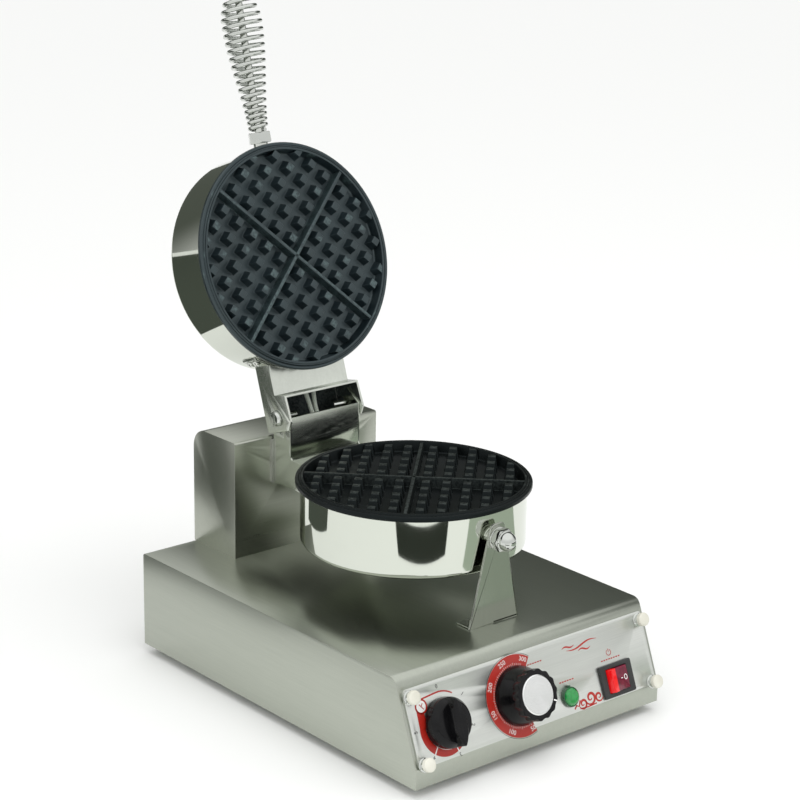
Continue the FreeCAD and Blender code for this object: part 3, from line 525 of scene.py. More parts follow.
# Screen ink: slightly uneven cover, a little glossier than the plate.
def printedInk(name, colour):
    material, tree, shader, place = startMaterial(name)
    cover = noiseNode(tree, place, 900.0, 3.0)
    base = mixColour(tree, rampNode(tree, cover, 0.3, 0.7), tuple(c * 0.88 for c in colour), colour)
    tree.links.new(base, shader.inputs["Base Color"])
    tree.links.new(plus(tree, times(tree, cover, 0.15), 0.25), shader.inputs["Roughness"])
    return material


# Coloured clear plastic over a reflector, with a little light of its own.
def tintedLens(name, colour, glow):
    material, tree, shader, place = startMaterial(name)
    cells = noiseNode(tree, place, 500.0, 2.0)
    base = mixColour(tree, rampNode(tree, cells, 0.35, 0.65), tuple(c * 0.75 for c in colour), colour)
    tree.links.new(base, shader.inputs["Base Color"])
    tree.links.new(base, shader.inputs["Emission Color"])
    shader.inputs["Emission Strength"].default_value = glow
    tree.links.new(plus(tree, times(tree, cells, 0.1), 0.12), shader.inputs["Roughness"])
    shader.inputs["Coat Weight"].default_value = 0.6
    shader.inputs["Coat Roughness"].default_value = 0.05
    return material


# Clear red plastic, lit from inside on one side of a line across it.
def litRocker(name, lit, dim, edge):
    material, tree, shader, place = startMaterial(name)
    axes = tree.nodes.new("ShaderNodeSeparateXYZ")
    tree.links.new(place, axes.inputs[0])
    side = rampNode(tree, axes.outputs["X"], joints["switch_rock"]["pos_m"][0] + edge - 0.0006,
                    joints["switch_rock"]["pos_m"][0] + edge + 0.0006)
    cells = noiseNode(tree, place, 350.0, 3.0)
    deep = mixColour(tree, rampNode(tree, cells, 0.35, 0.65), tuple(c * 0.6 for c in dim), dim)
    base = mixColour(tree, side, lit, deep)
    tree.links.new(base, shader.inputs["Base Color"])
    tree.links.new(base, shader.inputs["Emission Color"])
    shader.inputs["Emission Strength"].default_value = 0.35
    tree.links.new(plus(tree, times(tree, cells, 0.06), 0.1), shader.inputs["Roughness"])
    return material


# Braided sleeving: two crossing waves on the sleeve's own UV map.
def wovenSleeve(name, colour, cellAround, cellAlong):
    material, tree, shader, place = startMaterial(name)
    uv = tree.nodes.new("ShaderNodeTexCoord").outputs["UV"]
    waves = []
    for slant in (1.0, -1.0):
        node = tree.nodes.new("ShaderNodeTexWave")
        node.wave_type, node.bands_direction = "BANDS", "DIAGONAL"
        node.inputs["Scale"].default_value = 1.0
        tree.links.new(stretched(tree, uv, (cellAround * slant, cellAlong, 1)), node.inputs["Vector"])
        waves.append(node.outputs["Fac"])
    braid = mathNode(tree, "MAXIMUM", waves[0], waves[1])
    fibres = noiseNode(tree, place, 4000.0, 2.0)
    height = plus(tree, braid, times(tree, fibres, 0.3))
    # The weave's low parts are darkened to 0.45 of the colour: painted shade in its hollows.
    base = mixColour(tree, rampNode(tree, height, 0.4, 1.1), tuple(c * 0.45 for c in colour), colour)
    tree.links.new(base, shader.inputs["Base Color"])
    tree.links.new(bumpNode(tree, height, 0.0002), shader.inputs["Normal"])
    tree.links.new(plus(tree, times(tree, fibres, 0.2), 0.55), shader.inputs["Roughness"])
    shader.inputs["Sheen Weight"].default_value = 0.3
    return material


# Turned face: fine rings round the piece's own axis; the highlight fans out from the middle.
def spunMetal(name, colour, roughness):
    material, tree, shader, place = startMaterial(name)
    uv = tree.nodes.new("ShaderNodeTexCoord").outputs["UV"]
    rings = noiseNode(tree, stretched(tree, uv, (2.0, 260.0, 1)), 1.0, 3.0, 0.6)
    base = mixColour(tree, rampNode(tree, rings, 0.3, 0.7), tuple(c * 0.9 for c in colour), colour)
    tree.links.new(base, shader.inputs["Base Color"])
    tree.links.new(plus(tree, times(tree, rings, 0.1), roughness), shader.inputs["Roughness"])
    tree.links.new(bumpNode(tree, rings, 0.000012), shader.inputs["Normal"])
    tangent = tree.nodes.new("ShaderNodeTangent")
    tangent.direction_type = "UV_MAP"
    tangent.uv_map = "turning"
    tree.links.new(tangent.outputs["Tangent"], shader.inputs["Tangent"])
    shader.inputs["Metallic"].default_value = 1.0
    shader.inputs["Anisotropic"].default_value = 0.85
    return material


steel = (0.45, 0.475, 0.415)
alongX, alongY, alongZ = (0.02, 1, 1), (1, 0.02, 1), (1, 1, 0.02)
look = {
    "base": brushedSteel("brushedBase", steel, 0.29, alongY, depth=0.000004, spread=0.05),
    "column": brushedSteel("brushedColumn", (0.46, 0.48, 0.42), 0.28, alongX, depth=0.000004, spread=0.05),
    "arm": brushedSteel("satinArm", (0.66, 0.69, 0.63), 0.24, alongZ, depth=0.000001, spread=0.05),
    "bracket": brushedSteel("satinBracket", (0.46, 0.48, 0.43), 0.15, alongZ, depth=0.000003, spread=0.05),
    "panel": brushedSteel("labelPlate", (0.75, 0.77, 0.73), 0.34, alongX, depth=0.0000001, spread=0.006),
    "polished": polishedSteel("polishedShell", (0.66, 0.69, 0.62), 0.04),
    "folded": polishedSteel("foldedSteel", (0.50, 0.53, 0.47), 0.11),
    "bright": polishedSteel("platedSteel", (0.64, 0.66, 0.62), 0.08),
    "chrome": polishedSteel("chromeWire", (0.58, 0.60, 0.57), 0.05),
    "zinc": brushedSteel("zincSteel", (0.55, 0.55, 0.53), 0.36, (1, 1, 1), depth=0.00002, streaks=700.0),
    "nonstick": nonstickCoating("nonstick", (0.0035, 0.0045, 0.0045), (0.05, 0.06, 0.056), 1.5, 0.16),
    # The lid plate's copy of the coating, bluer and more mirror-like than the lower plate's: painted sheen
    # for the face turned to the front light.
    "nonstickLitSheen": nonstickCoating("nonstickLitSheen", (0.005, 0.009, 0.011), (0.08, 0.12, 0.12), 1.8, 0.4),
    "knob": mouldedPlastic("glossPhenolic", (0.003, 0.003, 0.0035), 0.16, depth=0.000001, mirror=0.2),
    "blackPlastic": mouldedPlastic("blackNylon", (0.018, 0.019, 0.019), 0.38),
    "rubber": mouldedPlastic("blackRubber", (0.02, 0.02, 0.02), 0.75, depth=0.00003, scale=1500.0),
    "ivory": mouldedPlastic("ivoryCap", (0.66, 0.65, 0.56), 0.36, depth=0.000004),
    "ceramic": mouldedPlastic("steatite", (0.78, 0.76, 0.68), 0.5),
    "wool": mouldedPlastic("mineralWool", (0.70, 0.67, 0.55), 0.9, depth=0.0004, scale=900.0),
    "red": printedInk("redInk", (0.42, 0.018, 0.01)),
    "black": printedInk("blackInk", (0.02, 0.02, 0.02)),
    "white": printedInk("whiteInk", (0.85, 0.85, 0.83)),
    "lens": tintedLens("greenLens", (0.012, 0.26, 0.05), 0.12),
    "rocker": litRocker("redRocker", (0.62, 0.004, 0.006), (0.13, 0.002, 0.02), -0.0035),
    "greenHolder": mouldedPlastic("greenHolder", (0.006, 0.06, 0.02), 0.25, coat=0.4),
    "sleeve": wovenSleeve("glassSleeve", (0.74, 0.82, 0.70), 10.0, 90.0),
    "spun": spunMetal("spunCap", (0.86, 0.87, 0.86), 0.2),
}
print("materials made:", len(look))


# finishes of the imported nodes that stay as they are

finishes = {
    "base": ["column_back_cover", "bottom_plate"],
    "zinc": ["timer_body", "thermostat_body", "gland_nut", "lamp_nut", "lower_clamp_plate",
             "upper_clamp_plate", "lower_clamp_bolts", "upper_clamp_bolts", "lower_heating_element",
              "upper_heating_element",
             "thermostat_bulb", "timer_shaft", "thermostat_shaft", "hinge_back_plate", "foot_screws"],
    "bright": ["cover_screws", "bracket_screws", "hinge_bolts",
               "pivot_nuts", "lower_pan_screws", "arm_screws", "handle_rod", "handle_collar",
               "handle_cap_nut"],
    "wool": ["lower_insulation", "upper_insulation"],
    "ceramic": ["terminal_block"],
    "blackPlastic": ["cable_gland"],
    "rubber": ["rubber_feet"],
    "greenHolder": ["lamp_holder"],
}
for finish, nodes in finishes.items():
    for node in nodes:
        slots = frame["nodes"][node].data.materials
        slots.clear()
        slots.append(look[finish])
print("packed nodes finished")


# sheet metal with rounded edges

sheetMetal = {
    "base_shell": ("base", "brushed", 0.0007),
    "column_shell": ("column", "brushed", 0.0006),
    "lower_hinge_bracket": ("folded", "polished", 0.0007),
    "control_panel": ("panel", "panel", 0.0002),
}
for node, (finish, slotName, width) in sheetMetal.items():
    bevelledCopy(node, "base", look[finish], width)
bevelledCopy("lid_arm", "lid", look["arm"], 0.0007)
for node, body in (("pivot_screws", "base"), ("handle_root_nut", "lid")):
    bevelledCopy(node, body, look["chrome"], 0.0002)
print("sheet metal edged")


# polished pan shells

panShell = dict(radius=88.5, wall=1.0, depth=53.0, rim=-5.22, bottomRound=5.0, innerRound=4.0, segments=256)


# A spun cup: outer wall, rounded bottom edge, slightly domed floor, and its inner wall.
def shellParts(place):
    p = panShell
    r, w, d = p["radius"], p["wall"], p["depth"]
    points, faces = spun([(0, -d), (r - 12, -d), (r, -d, p["bottomRound"]), (r, p["rim"] - 0.3, 0.0001),
                          (r - 0.3, p["rim"]), (r - w + 0.3, p["rim"]), (r - w, p["rim"] - 0.3),
                          (r - w, w - d, p["innerRound"]), (0, w - d)], p["segments"], 10)
    return [(moved(points, place), faces)]


addPiece("lowerShell", shellParts(lowerPan), "base", look["polished"], ["lower_pan_shell"])
addPiece("upperShell", shellParts(upperPan), "lid", look["polished"], ["upper_pan_shell"])
print("pan shells made")


# cast waffle plates

plate = dict(radius=92.5, rimDrop=5.2, cavity=8.6, floorRadius=84.6, mouthRadius=86.3, floor=10.4, body=85.2,
             pitch=16.0, first=10.2, base=9.4, top=6.2, drop=0.5, round=0.35, ribTop=2.8, ribBase=4.4,
             pegSteps=5, segments=256)


# Stump of a pyramid from a stack of rounded rectangles: foot fillet, sloping side, rounded top edge, top.
def taperedBlock(baseX, baseY, topX, topY, rootZ, topZ, edge, foot):
    height = topZ - rootZ
    stack = [(spread, rootZ + rise, edge) for spread, rise in
             ((foot, -0.3), (foot, 0), (foot * 0.3, foot * 0.35), (0, foot))]
    for turn in (0, 30, 60, 90):
        a = math.radians(turn)
        stack.append((-edge * (1 - math.cos(a)), topZ - edge * (1 - math.sin(a)),
                      edge * (0.4 + 0.6 * math.cos(a))))
    turns = np.radians(np.concatenate([np.linspace(90 * k, 90 * k + 90, 4) for k in range(4)]))
    sides = np.repeat([(1, 1), (-1, 1), (-1, -1), (1, -1)], 4, 0)
    rows = []
    for spread, z, radius in stack:
        share = (z - rootZ) / height
        half = np.array([baseX + (topX - baseX) * share, baseY + (topY - baseY) * share]) / 2 + spread
        line = sides * (half - radius) + radius * np.column_stack([np.cos(turns), np.sin(turns)])
        rows.append(np.column_stack([line, np.full(len(line), z)]))
    rows.append(np.column_stack([rows[-1][:, :2] * 0.001, rows[-1][:, 2]]))
    return np.stack(rows).reshape(-1, 3), gridFaces(len(rows), len(turns), wrapColumns=True)


def plateParts(place):
    p = plate
    d, wallRun = p["cavity"], p["mouthRadius"] - p["floorRadius"]
    cavity = [(0, -d), (p["floorRadius"], -d, 1.6), (p["mouthRadius"], 0, 0.4)]
    rim = [(88.0, 0, 0.1), (88.1, -0.8), (88.5, -0.8), (88.6, 0, 0.1), (89.2, 0, 0.3), (89.8, -1.4, 0.1),
           (90.2, -1.0, 0.1), (91.8, -1.0, 0.4), (p["radius"], -2.0, 0.5), (p["radius"], -4.4, 0.4),
           (p["radius"] - 0.7, -p["rimDrop"], 0.2)]
    below = [(87.2, -p["rimDrop"]), (87.2, -7.0), (p["body"], -8.6), (p["body"], -d - p["floor"]),
             (0, -d - p["floor"])]
    body = spun(cavity + rim + below, p["segments"], 4)
    parts = [body]
    root, top = -d, -p["drop"]
    peg, pegFaces = taperedBlock(p["base"], p["base"], p["top"], p["top"], root, top, p["round"], 0.35)
    steps = [p["first"] + p["pitch"] * k for k in range(p["pegSteps"])]
    for a in steps:
        for b in steps:
            if math.hypot(a - p["top"] / 2, b - p["top"] / 2) > p["floorRadius"]:
                continue
            for u, v in ((a, b), (a, -b), (-a, b), (-a, -b)):
                parts.append(((peg + (u, v, 0)) * 0.001, pegFaces))
    reach = 2 * p["mouthRadius"]
    for turn in (0, 90):
        rib, ribFaces = taperedBlock(reach, p["ribBase"], reach, p["ribTop"], root, top, 0.35, 0.35)
        c, s = math.cos(math.radians(turn)), math.sin(math.radians(turn))
        parts.append((rib @ np.array([[c, s, 0], [-s, c, 0], [0, 0, 1]]) * 0.001, ribFaces))
    turned = place @ Matrix.Rotation(math.radians(45), 4, "Z")
    done = []
    for i, (points, faces) in enumerate(parts):
        if i:
            wall = (p["floorRadius"] + 0.6 + wallRun * (points[:, 2] * 1000 + d) / d) * 0.001
            reachNow = np.hypot(points[:, 0], points[:, 1])
            pull = np.minimum(1, wall / np.maximum(reachNow, 1e-9))
            points = points * np.column_stack([pull, pull, np.ones(len(points))])
        done.append((moved(points, turned), faces))
    return done


addPiece("lowerWaffleCasting", plateParts(lowerPan), "base", look["nonstick"],
         ["lower_waffle_plate"], 40)
# The upper plate takes the coating's copy with painted sheen.
addPiece("upperWaffleCasting", plateParts(upperPan), "lid", look["nonstickLitSheen"],
         ["upper_waffle_plate"], 40)
print("waffle plates made")


# coil grip on the lid's handle

handle = dict(root=95.0, back=18.4, tilt=4.85, length=125.0, foot=9.0, wire=1.7, closeTurns=4,
              closePitch=4.5, openTurns=15, slim=8.5, full=17.0, swellFrom=12.0, fullest=98.0,
              closing=36.0, power=1.6, steps=40, sides=12)
lean = math.radians(handle["tilt"])
handleAlong = (openLid.to_3x3() @ Vector((0, -math.cos(lean), -math.sin(lean)))).normalized()
handleFoot = openLid @ Vector((0, panAxis.y - mm(handle["root"]),
                               lowerFace + partingGap + mm(handle["back"])))
handlePlace = frameAt(handleFoot, xAxis, handleAlong.cross(xAxis), handleAlong)


# Helix x = r cos t, y = r sin t, z = d(t), with r(d) swelling towards the far end; a round wire follows it.
def coilParts():
    h = handle
    begin, finish = h["foot"] + h["wire"], h["length"] - h["wire"]
    openPitch = (finish - begin - h["closeTurns"] * h["closePitch"]) / h["openTurns"]
    allTurns = h["closeTurns"] + h["openTurns"]
    turns = np.linspace(0, allTurns, allTurns * h["steps"] + 1)
    along = (begin + h["closePitch"] * np.minimum(turns, h["closeTurns"])
             + openPitch * np.maximum(0, turns - h["closeTurns"]))
    swell = np.clip((along - h["swellFrom"]) / (h["fullest"] - h["swellFrom"]), 0, 1)
    tip = h["full"] * np.cos(np.pi / 2 * (along - h["fullest"]) / h["closing"])
    outer = np.where(along > h["fullest"], tip,
                     h["slim"] + (h["full"] - h["slim"]) * np.sin(np.pi / 2 * swell) ** h["power"])
    r, t = outer - h["wire"], 2 * np.pi * turns
    path = np.column_stack([r * np.cos(t), r * np.sin(t), along]) * 0.001
    tangent = np.gradient(path, axis=0)
    tangent /= np.linalg.norm(tangent, axis=1)[:, None]
    outward = np.column_stack([np.cos(t), np.sin(t), 0 * t])
    outward -= (tangent * outward).sum(1)[:, None] * tangent
    outward /= np.linalg.norm(outward, axis=1)[:, None]
    points, faces = swept(path, outward, np.cross(tangent, outward), mm(h["wire"]), h["sides"])
    return [(moved(points, handlePlace), faces)]


addPiece("coilGrip", coilParts(), "lid", look["chrome"], ["handle_coil"], 60)
print("coil grip made")


# front bracket with the pan's stud, its washer, nut and acorn nut

bracket = dict(left=-24.0, right=25.0, headHalf=6.8, headRound=5.0, studX=2.5, studDown=11.7, sheet=2.0,
               edge=0.5, wider=1.09)
bracketLow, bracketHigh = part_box("front_bracket")
packedStud = middle("stud_hex_nut")
studSpot = Vector((mm(bracket["studX"]), packedStud.y, bracketHigh.z - mm(bracket["studDown"])))


# Front outline (x, z) as a sheet, and a flat toe behind its foot that stands on the base.
def bracketParts():
    b = bracket
    foot, top = bracketLow.z * 1000, bracketHigh.z * 1000
    corners = [(b["right"] / 2 + b["left"] / 2, foot), (b["right"], foot),
               (b["studX"] + b["headHalf"], top, b["headRound"]),
               (b["studX"] - b["headHalf"], top, b["headRound"]), (b["left"], foot)]
    rise = slab(roundedLine(corners, 8), 0, mm(b["sheet"]))
    left, right, deep = mm(b["left"]), mm(b["right"]), bracketHigh.y - bracketLow.y
    toe = slab(np.array([(left, 0), (right, 0), (right, deep), (left, deep)]), 0, mm(b["sheet"]))
    upright = frameAt(Vector((0, bracketLow.y + mm(b["sheet"]), 0)), xAxis, zAxis, -yAxis)
    return [placed(rise, upright), placed(toe, Matrix.Translation((0, bracketLow.y, bracketLow.z)))]


frontBracket = addPiece("frontBracket", bracketParts(), "base", look["bracket"], ["front_bracket"])
edges = frontBracket.modifiers.new("edges", "BEVEL")
edges.width, edges.segments = mm(bracket["edge"]), 2
edges.limit_method, edges.harden_normals = "ANGLE", True

toStud = Matrix.Translation(studSpot - packedStud)
widerNut = (Matrix.Translation(studSpot) @ Matrix.Diagonal((bracket["wider"], 1, bracket["wider"], 1))
            @ Matrix.Translation(-packedStud))
for node in ("front_stud", "stud_spacer", "stud_washer"):
    bevelledCopy(node, "base", look["bright"], 0.0002, shift=toStud)
bevelledCopy("stud_hex_nut", "base", look["chrome"], 0.0003, shift=widerNut)

acornSeat = Vector((studSpot.x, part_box("stud_acorn_nut")[1].y, studSpot.z))
acornPlace = frameAt(acornSeat, xAxis, zAxis, -yAxis)
dome = spun([(0, 0), (8.2, 0, 0.2), (8.2, 0.9, 0.3), (7.4, 1.3, 0.1), (7.4, 9.6, 7.2), (0, 9.6)], 96, 14)
addPiece("acornNut", [placed(dome, acornPlace)], "base", look["chrome"], ["stud_acorn_nut"])
print("front bracket and stud made")


# control panel: plate, thumb screws, printed dials and marks

panelFoot = timerSpot - xAxis * timerSpot.x - panelUp * mm(27.0)     # at the lip's bend, in the middle
face = 1.5                                                            # panel's thickness
thumb = dict(x=117.5, low=2.9, high=52.5)


# Place on the panel: x to the right, up the slope and out of it, in mm.
def onPanel(x, up, out=0.0):
    return panelFrame(panelFoot + xAxis * mm(x) + panelUp * mm(up) + panelOut * mm(out))


thumbPlaces = [onPanel(side * thumb["x"], thumb[up], face) for side in (-1, 1) for up in ("low", "high")]
neck = spun([(0, 0), (5.4, 0, 0.2), (5.4, 1.0, 0.3), (4.4, 1.4, 0.3), (4.4, 4.2), (0, 4.2)], 48, 4)
capTop = spun([(0, 4.1), (4.9, 4.1), (5.3, 4.5, 0.2), (5.3, 7.6, 0.7), (3.6, 8.15, 3.0), (0, 8.25)], 64, 5)
addPiece("thumbScrewCaps", [placed(capTop, place) for place in thumbPlaces], "base", look["ivory"],
         ["panel_thumb_screws"])
addPiece("thumbScrewNecks", [placed(neck, place) for place in thumbPlaces], "base", look["chrome"])

inkLow, inkHigh = mm(face + 0.02), mm(face + 0.07)


# A constant or tapering stroke along (x, y) points in mm; width may be a number or one value per point.
def stroke(points, width, lift=0.0):
    line = np.asarray(points, float)
    run = np.gradient(line, axis=0)
    run /= np.linalg.norm(run, axis=1)[:, None]
    aside = np.column_stack([-run[:, 1], run[:, 0]])
    half = np.broadcast_to(np.asarray(width, float) / 2, len(line))[:, None]
    edge = aside * half
    return strip((line - edge) * 0.001, (line + edge) * 0.001, inkLow + mm(lift), inkHigh + mm(lift))


def inkRing(inner, outer, start, stop, lift=0.0, steps=80):
    return ring(np.asarray(inner) * 0.001, np.asarray(outer) * 0.001, start, stop, inkLow + mm(lift),
                inkHigh + mm(lift), steps)


def radialTick(angle, inner, outer, width, lift=0.0):
    direction = np.array([math.cos(math.radians(angle)), math.sin(math.radians(angle))])
    return stroke([direction * inner, direction * (inner + outer) / 2, direction * outer], width, lift)


# A number on a dial, upright for the reader: its foot faces the middle, or its head when it sits low.
def dialNumber(words, angle, radius, size, flip, lift=0.0):
    a = math.radians(angle)
    turn = a - math.pi / 2 + (math.pi if flip else 0)
    place = Matrix.Translation((mm(radius) * math.cos(a), mm(radius) * math.sin(a), inkHigh + mm(lift)))
    return textPart(words, mm(size), place @ Matrix.Rotation(turn, 4, "Z"))


# Timer scale: a swelling red band under the knob that ends in a small clock sign, and six numbers.
timerDial = dict(outer=23.0, clockAt=(-17.6, 16.7), clock=5.0, line=1.2, numbers=27.0, step=54.0)


def timerPrints():
    d = timerDial
    clock = np.array(d["clockAt"])
    apart = np.linalg.norm(clock)
    along = math.degrees(math.atan2(clock[1], clock[0]))
    offset = math.degrees(math.acos((d["outer"] - d["clock"]) / apart))
    top, left = math.radians(along - offset), math.radians(along + offset)
    tops = [np.array([math.cos(top), math.sin(top)]) * r for r in (d["clock"], d["outer"])]
    share = np.linspace(0, 1, 80)
    leftEdge = [np.array([math.cos(left), math.sin(left)]) * r for r in (d["clock"], d["outer"])]
    red = [stroke([clock + tops[0], (clock + tops[0] + tops[1]) / 2, tops[1]], d["line"]),
           inkRing(d["outer"] - 0.6 + 0 * share[:40], d["outer"] + 0.6 - 0.9 * share[:40] ** 2,
                   math.degrees(top), 56, steps=40),
           inkRing(18.0 + 3.6 * share ** 2, 23.2 + 1.3 * np.sin(np.pi * share), math.degrees(left), 310),
           inkRing(d["clock"] - 0.65, d["clock"] + 0.65, 0, 359.9, steps=60)]
    red[-1] = (red[-1][0] + np.array([*mm(*clock), 0]), red[-1][1])
    wedge = np.array([clock + leftEdge[0], clock + (1.2, -d["clock"]), (-15.5, 4.0), (-18.0, 0.0),
                      leftEdge[1]])
    red.append(slab(wedge[::-1] * 0.001, inkLow, inkHigh))
    white = [inkRing(0.05, d["clock"] - 0.7, 0, 359.9, steps=48)]
    white[0] = (white[0][0] + np.array([*mm(*clock), mm(0.03)]), white[0][1])
    white += [radialTick(angle, 18.6, 24.9, 0.9, 0.03) for angle in (234, 288)]
    hand = [stroke([clock + (-1.6, 1.9), clock, clock + (1.9, -2.4)], 0.7, 0.06),
            stroke([clock, clock + (0.8, 1.0), clock + (1.7, 2.1)], 0.7, 0.06)]
    black = [dialNumber(str(k), 90 - d["step"] * k, d["numbers"], 4.4, False) for k in range(1, 6)]
    black.append(dialNumber("0", 90, d["numbers"], 4.4, False))
    return red + hand, white, black


# Thermostat scale: a wide red band, white numbers by fifties and fine white ticks along its inner edge.
heatDial = dict(inner=22.6, outer=31.0, start=55, stop=290, numbers=27.6, first=285, step=44.0, fine=4.4)


def thermostatPrints():
    d = heatDial
    red = [inkRing(d["inner"], d["outer"], d["start"], d["stop"], steps=160)]
    black = [inkRing(31.5, 31.85, d["start"], d["stop"], steps=160)]
    white = []
    for k in range(6):
        angle = d["first"] - d["step"] * k
        low = math.sin(math.radians(angle)) < -0.35
        white.append(dialNumber(str(50 * (k + 1)), angle, d["numbers"], 5.0, low, 0.03))
    ticks = int(5 * d["step"] / d["fine"])
    for k in range(ticks + 1):
        white.append(radialTick(d["first"] - d["fine"] * k, 22.9, 24.9 if k % 5 == 0 else 24.3, 0.3, 0.03))
    return red, white, black


# Ornament: curls r = a (1 - share) wound round a centre, side by side and growing.
def curl(centre, radius, turns, start, width):
    share = np.linspace(0, 1, 60)
    angle = math.radians(start) + 2 * np.pi * turns * share
    r = radius * (1 - 0.82 * share)
    points = np.column_stack([centre[0] + r * np.cos(angle), centre[1] + r * np.sin(angle)])
    return stroke(points, width * (0.35 + 0.65 * np.sin(np.pi * np.clip(share * 1.15, 0, 1))) + 0.15)


def sideMarks():
    s = np.linspace(0, 1, 40)
    swell = np.sin(np.pi * s) ** 0.7
    waves = [(34, 49.6, 13, 0.9), (38, 47.6, 33, -1.3), (50, 44.6, 13, 1.0)]
    red = [stroke(np.column_stack([x + run * s, up + rise * np.sin(2 * np.pi * s) + 0.06 * run * s]),
                  1.15 * swell + 0.12) for x, up, run, rise in waves]
    red += [curl((43.5, 5.2), 4.4, 1.35, 200, 1.7), curl((52.0, 7.6), 5.6, 1.4, 190, 2.0),
            curl((60.6, 6.6), 4.2, -1.3, 340, 1.6),
            stroke([(34.0, 3.2), (36.5, 5.4), (39.0, 4.2), (41.0, 8.4)], 1.3),
            stroke([(39.5, 2.2), (48.0, 1.6), (57.0, 2.2)], 1.0)]
    a = np.radians(np.linspace(125, 415, 40))
    red += [stroke(np.column_stack([80 + 2.3 * np.cos(a), 36 + 2.3 * np.sin(a)]), 0.55),
            stroke([(80, 36.2), (80, 37.6), (80, 38.9)], 0.55)]
    dash, apart = 1.8, 2.6                                   # rows of plain dashes
    for x, up, run in ((-8.0, 47.0, 22.0), (24.5, 26.0, 17.0), (70.5, 31.0, 21.0)):
        for start in (x + apart * k for k in range(int(run / apart))):
            red.append(stroke([(start, up), (start + dash / 2, up), (start + dash, up)], 0.9))
    return red


timerRed, timerWhite, timerBlack = timerPrints()
heatRed, heatWhite, heatBlack = thermostatPrints()
timerPlace, heatPlace, marksPlace = panelFrame(timerSpot), panelFrame(thermostatSpot), onPanel(0, 0)
prints = {
    "red": [placed(p, timerPlace) for p in timerRed] + [placed(p, heatPlace) for p in heatRed]
           + [placed(p, marksPlace) for p in sideMarks()],
    "white": [placed(p, timerPlace) for p in timerWhite] + [placed(p, heatPlace) for p in heatWhite],
    "black": [placed(p, timerPlace) for p in timerBlack] + [placed(p, heatPlace) for p in heatBlack],
}
for ink, parts in prints.items():
    addPiece("prints" + ink.capitalize(), parts, "base", look[ink])
print("panel printed")


# knobs

# Leaf-shaped grip: half width w cos^1.5, half length l sin, drawn in as it rises and rounded at its crest.
def leafWing(half, length, low, high, crest=1.0):
    t = np.linspace(0, 2 * np.pi, 72, endpoint=False)
    across, along = np.sign(np.cos(t)) * np.abs(np.cos(t)) ** 1.5, np.sin(t)
    levels = [(1.0, low)] + [(0.90 - 0.22 * (1 - math.cos(a)), high - crest * (1 - math.sin(a)))
                             for a in np.radians((0, 25, 50, 70, 90))] + [(0.001, high)]
    rows = [np.column_stack([half * k * across, length * (0.6 + 0.4 * k if k > 0.01 else k) * along,
                             np.full(len(t), z)]) for k, z in levels]
    return np.stack(rows).reshape(-1, 3) * 0.001, gridFaces(len(rows), len(t), wrapColumns=True)


def cappedBelow(part, count):
    return part[0], part[1].tolist() + [list(range(count))[::-1]]


knobDisc = spun([(0, 3), (18.3, 3, 0.3), (19.0, 4, 0.5), (18.7, 9.5, 2.5), (15.2, 14.4, 2.5),
                 (0, 14.4)], 160, 8)
knobWing = cappedBelow(leafWing(6.4, 18.3, 9.0, 21.5), 72)
addPiece("timerKnob", [placed(knobDisc, timerPlace), placed(knobWing, timerPlace)], "timer_dial",
         look["knob"], ["timer_knob"], 40)


# Lathe profile with a scalloped rim: the radius gives way by depth (1 - cos(count a)) / 2 past the root.
def scalloped(corners, count, depth, root, segments=360):
    profile = roundedLine(corners, 5)
    a = np.linspace(0, 2 * np.pi, segments, endpoint=False)
    r, h = profile[:, 0][:, None], profile[:, 1][:, None]
    share = np.clip((r - mm(root)) / mm(1.6), 0, 1)
    r = r - mm(depth) * share * (0.5 - 0.5 * np.cos(count * a))
    points = np.stack([r * np.cos(a), r * np.sin(a), h + 0 * a], -1).reshape(-1, 3)
    return points, gridFaces(len(profile), segments, wrapColumns=True)


barrel = spun([(0, 2.6), (22.8, 2.6, 0.6), (22.3, 6.0, 6), (19.3, 15.0, 5), (18.2, 19.0), (0, 19.0)], 160, 8)
grip = scalloped([(0, 16.4), (17.4, 16.4), (19.6, 17.0, 0.7), (19.6, 24.2, 1.1), (15.5, 24.2, 0.3),
                  (15.3, 22.9), (0, 22.9)], 15, 1.25, 18.0)
pointerTurn = Matrix.Rotation(math.radians(-28), 4, "Z")
pointerLine = np.array([(15.6, -0.55), (18.6, -0.55), (18.6, 0.55), (15.6, 0.55)]) * 0.001
pointer = slab(pointerLine, mm(24.22), mm(24.34))
capDisc = spun([(0, 22.95), (15.1, 22.95), (15.2, 24.0, 0.5), (14.2, 24.7, 0.5), (0, 24.75)], 128, 4)
addPiece("thermostatKnob", [placed(barrel, heatPlace), placed(grip, heatPlace)], "thermostat_dial",
         look["knob"], ["thermostat_knob"], 45)
addPiece("thermostatPointer", [placed(pointer, heatPlace @ pointerTurn)], "thermostat_dial",
         look["white"])
heatCap = addPiece("thermostatCap", [placed(capDisc, heatPlace)], "thermostat_dial", look["spun"],
                   ["thermostat_cap"])


# UV map of a turned face: the angle round the axis in U, the radius in V.
def turningUv(piece, place):
    mesh = piece.data
    layer = mesh.uv_layers.new(name="turning")
    back = place.inverted()
    for polygon in mesh.polygons:
        spots = [back @ mesh.vertices[mesh.loops[i].vertex_index].co for i in polygon.loop_indices]
        centre = sum(spots, Vector()) / len(spots)
        middleTurn = math.atan2(centre.y, centre.x)
        for i, spot in zip(polygon.loop_indices, spots):
            turn = math.atan2(spot.y, spot.x) - middleTurn if spot.xy.length > 1e-6 else 0.0
            turn = (turn + math.pi) % (2 * math.pi) - math.pi + middleTurn
            layer.data[i].uv = (turn / (2 * math.pi), spot.xy.length * 10)


turningUv(heatCap, heatPlace)
print("knobs made")


# rocker switch and lamp

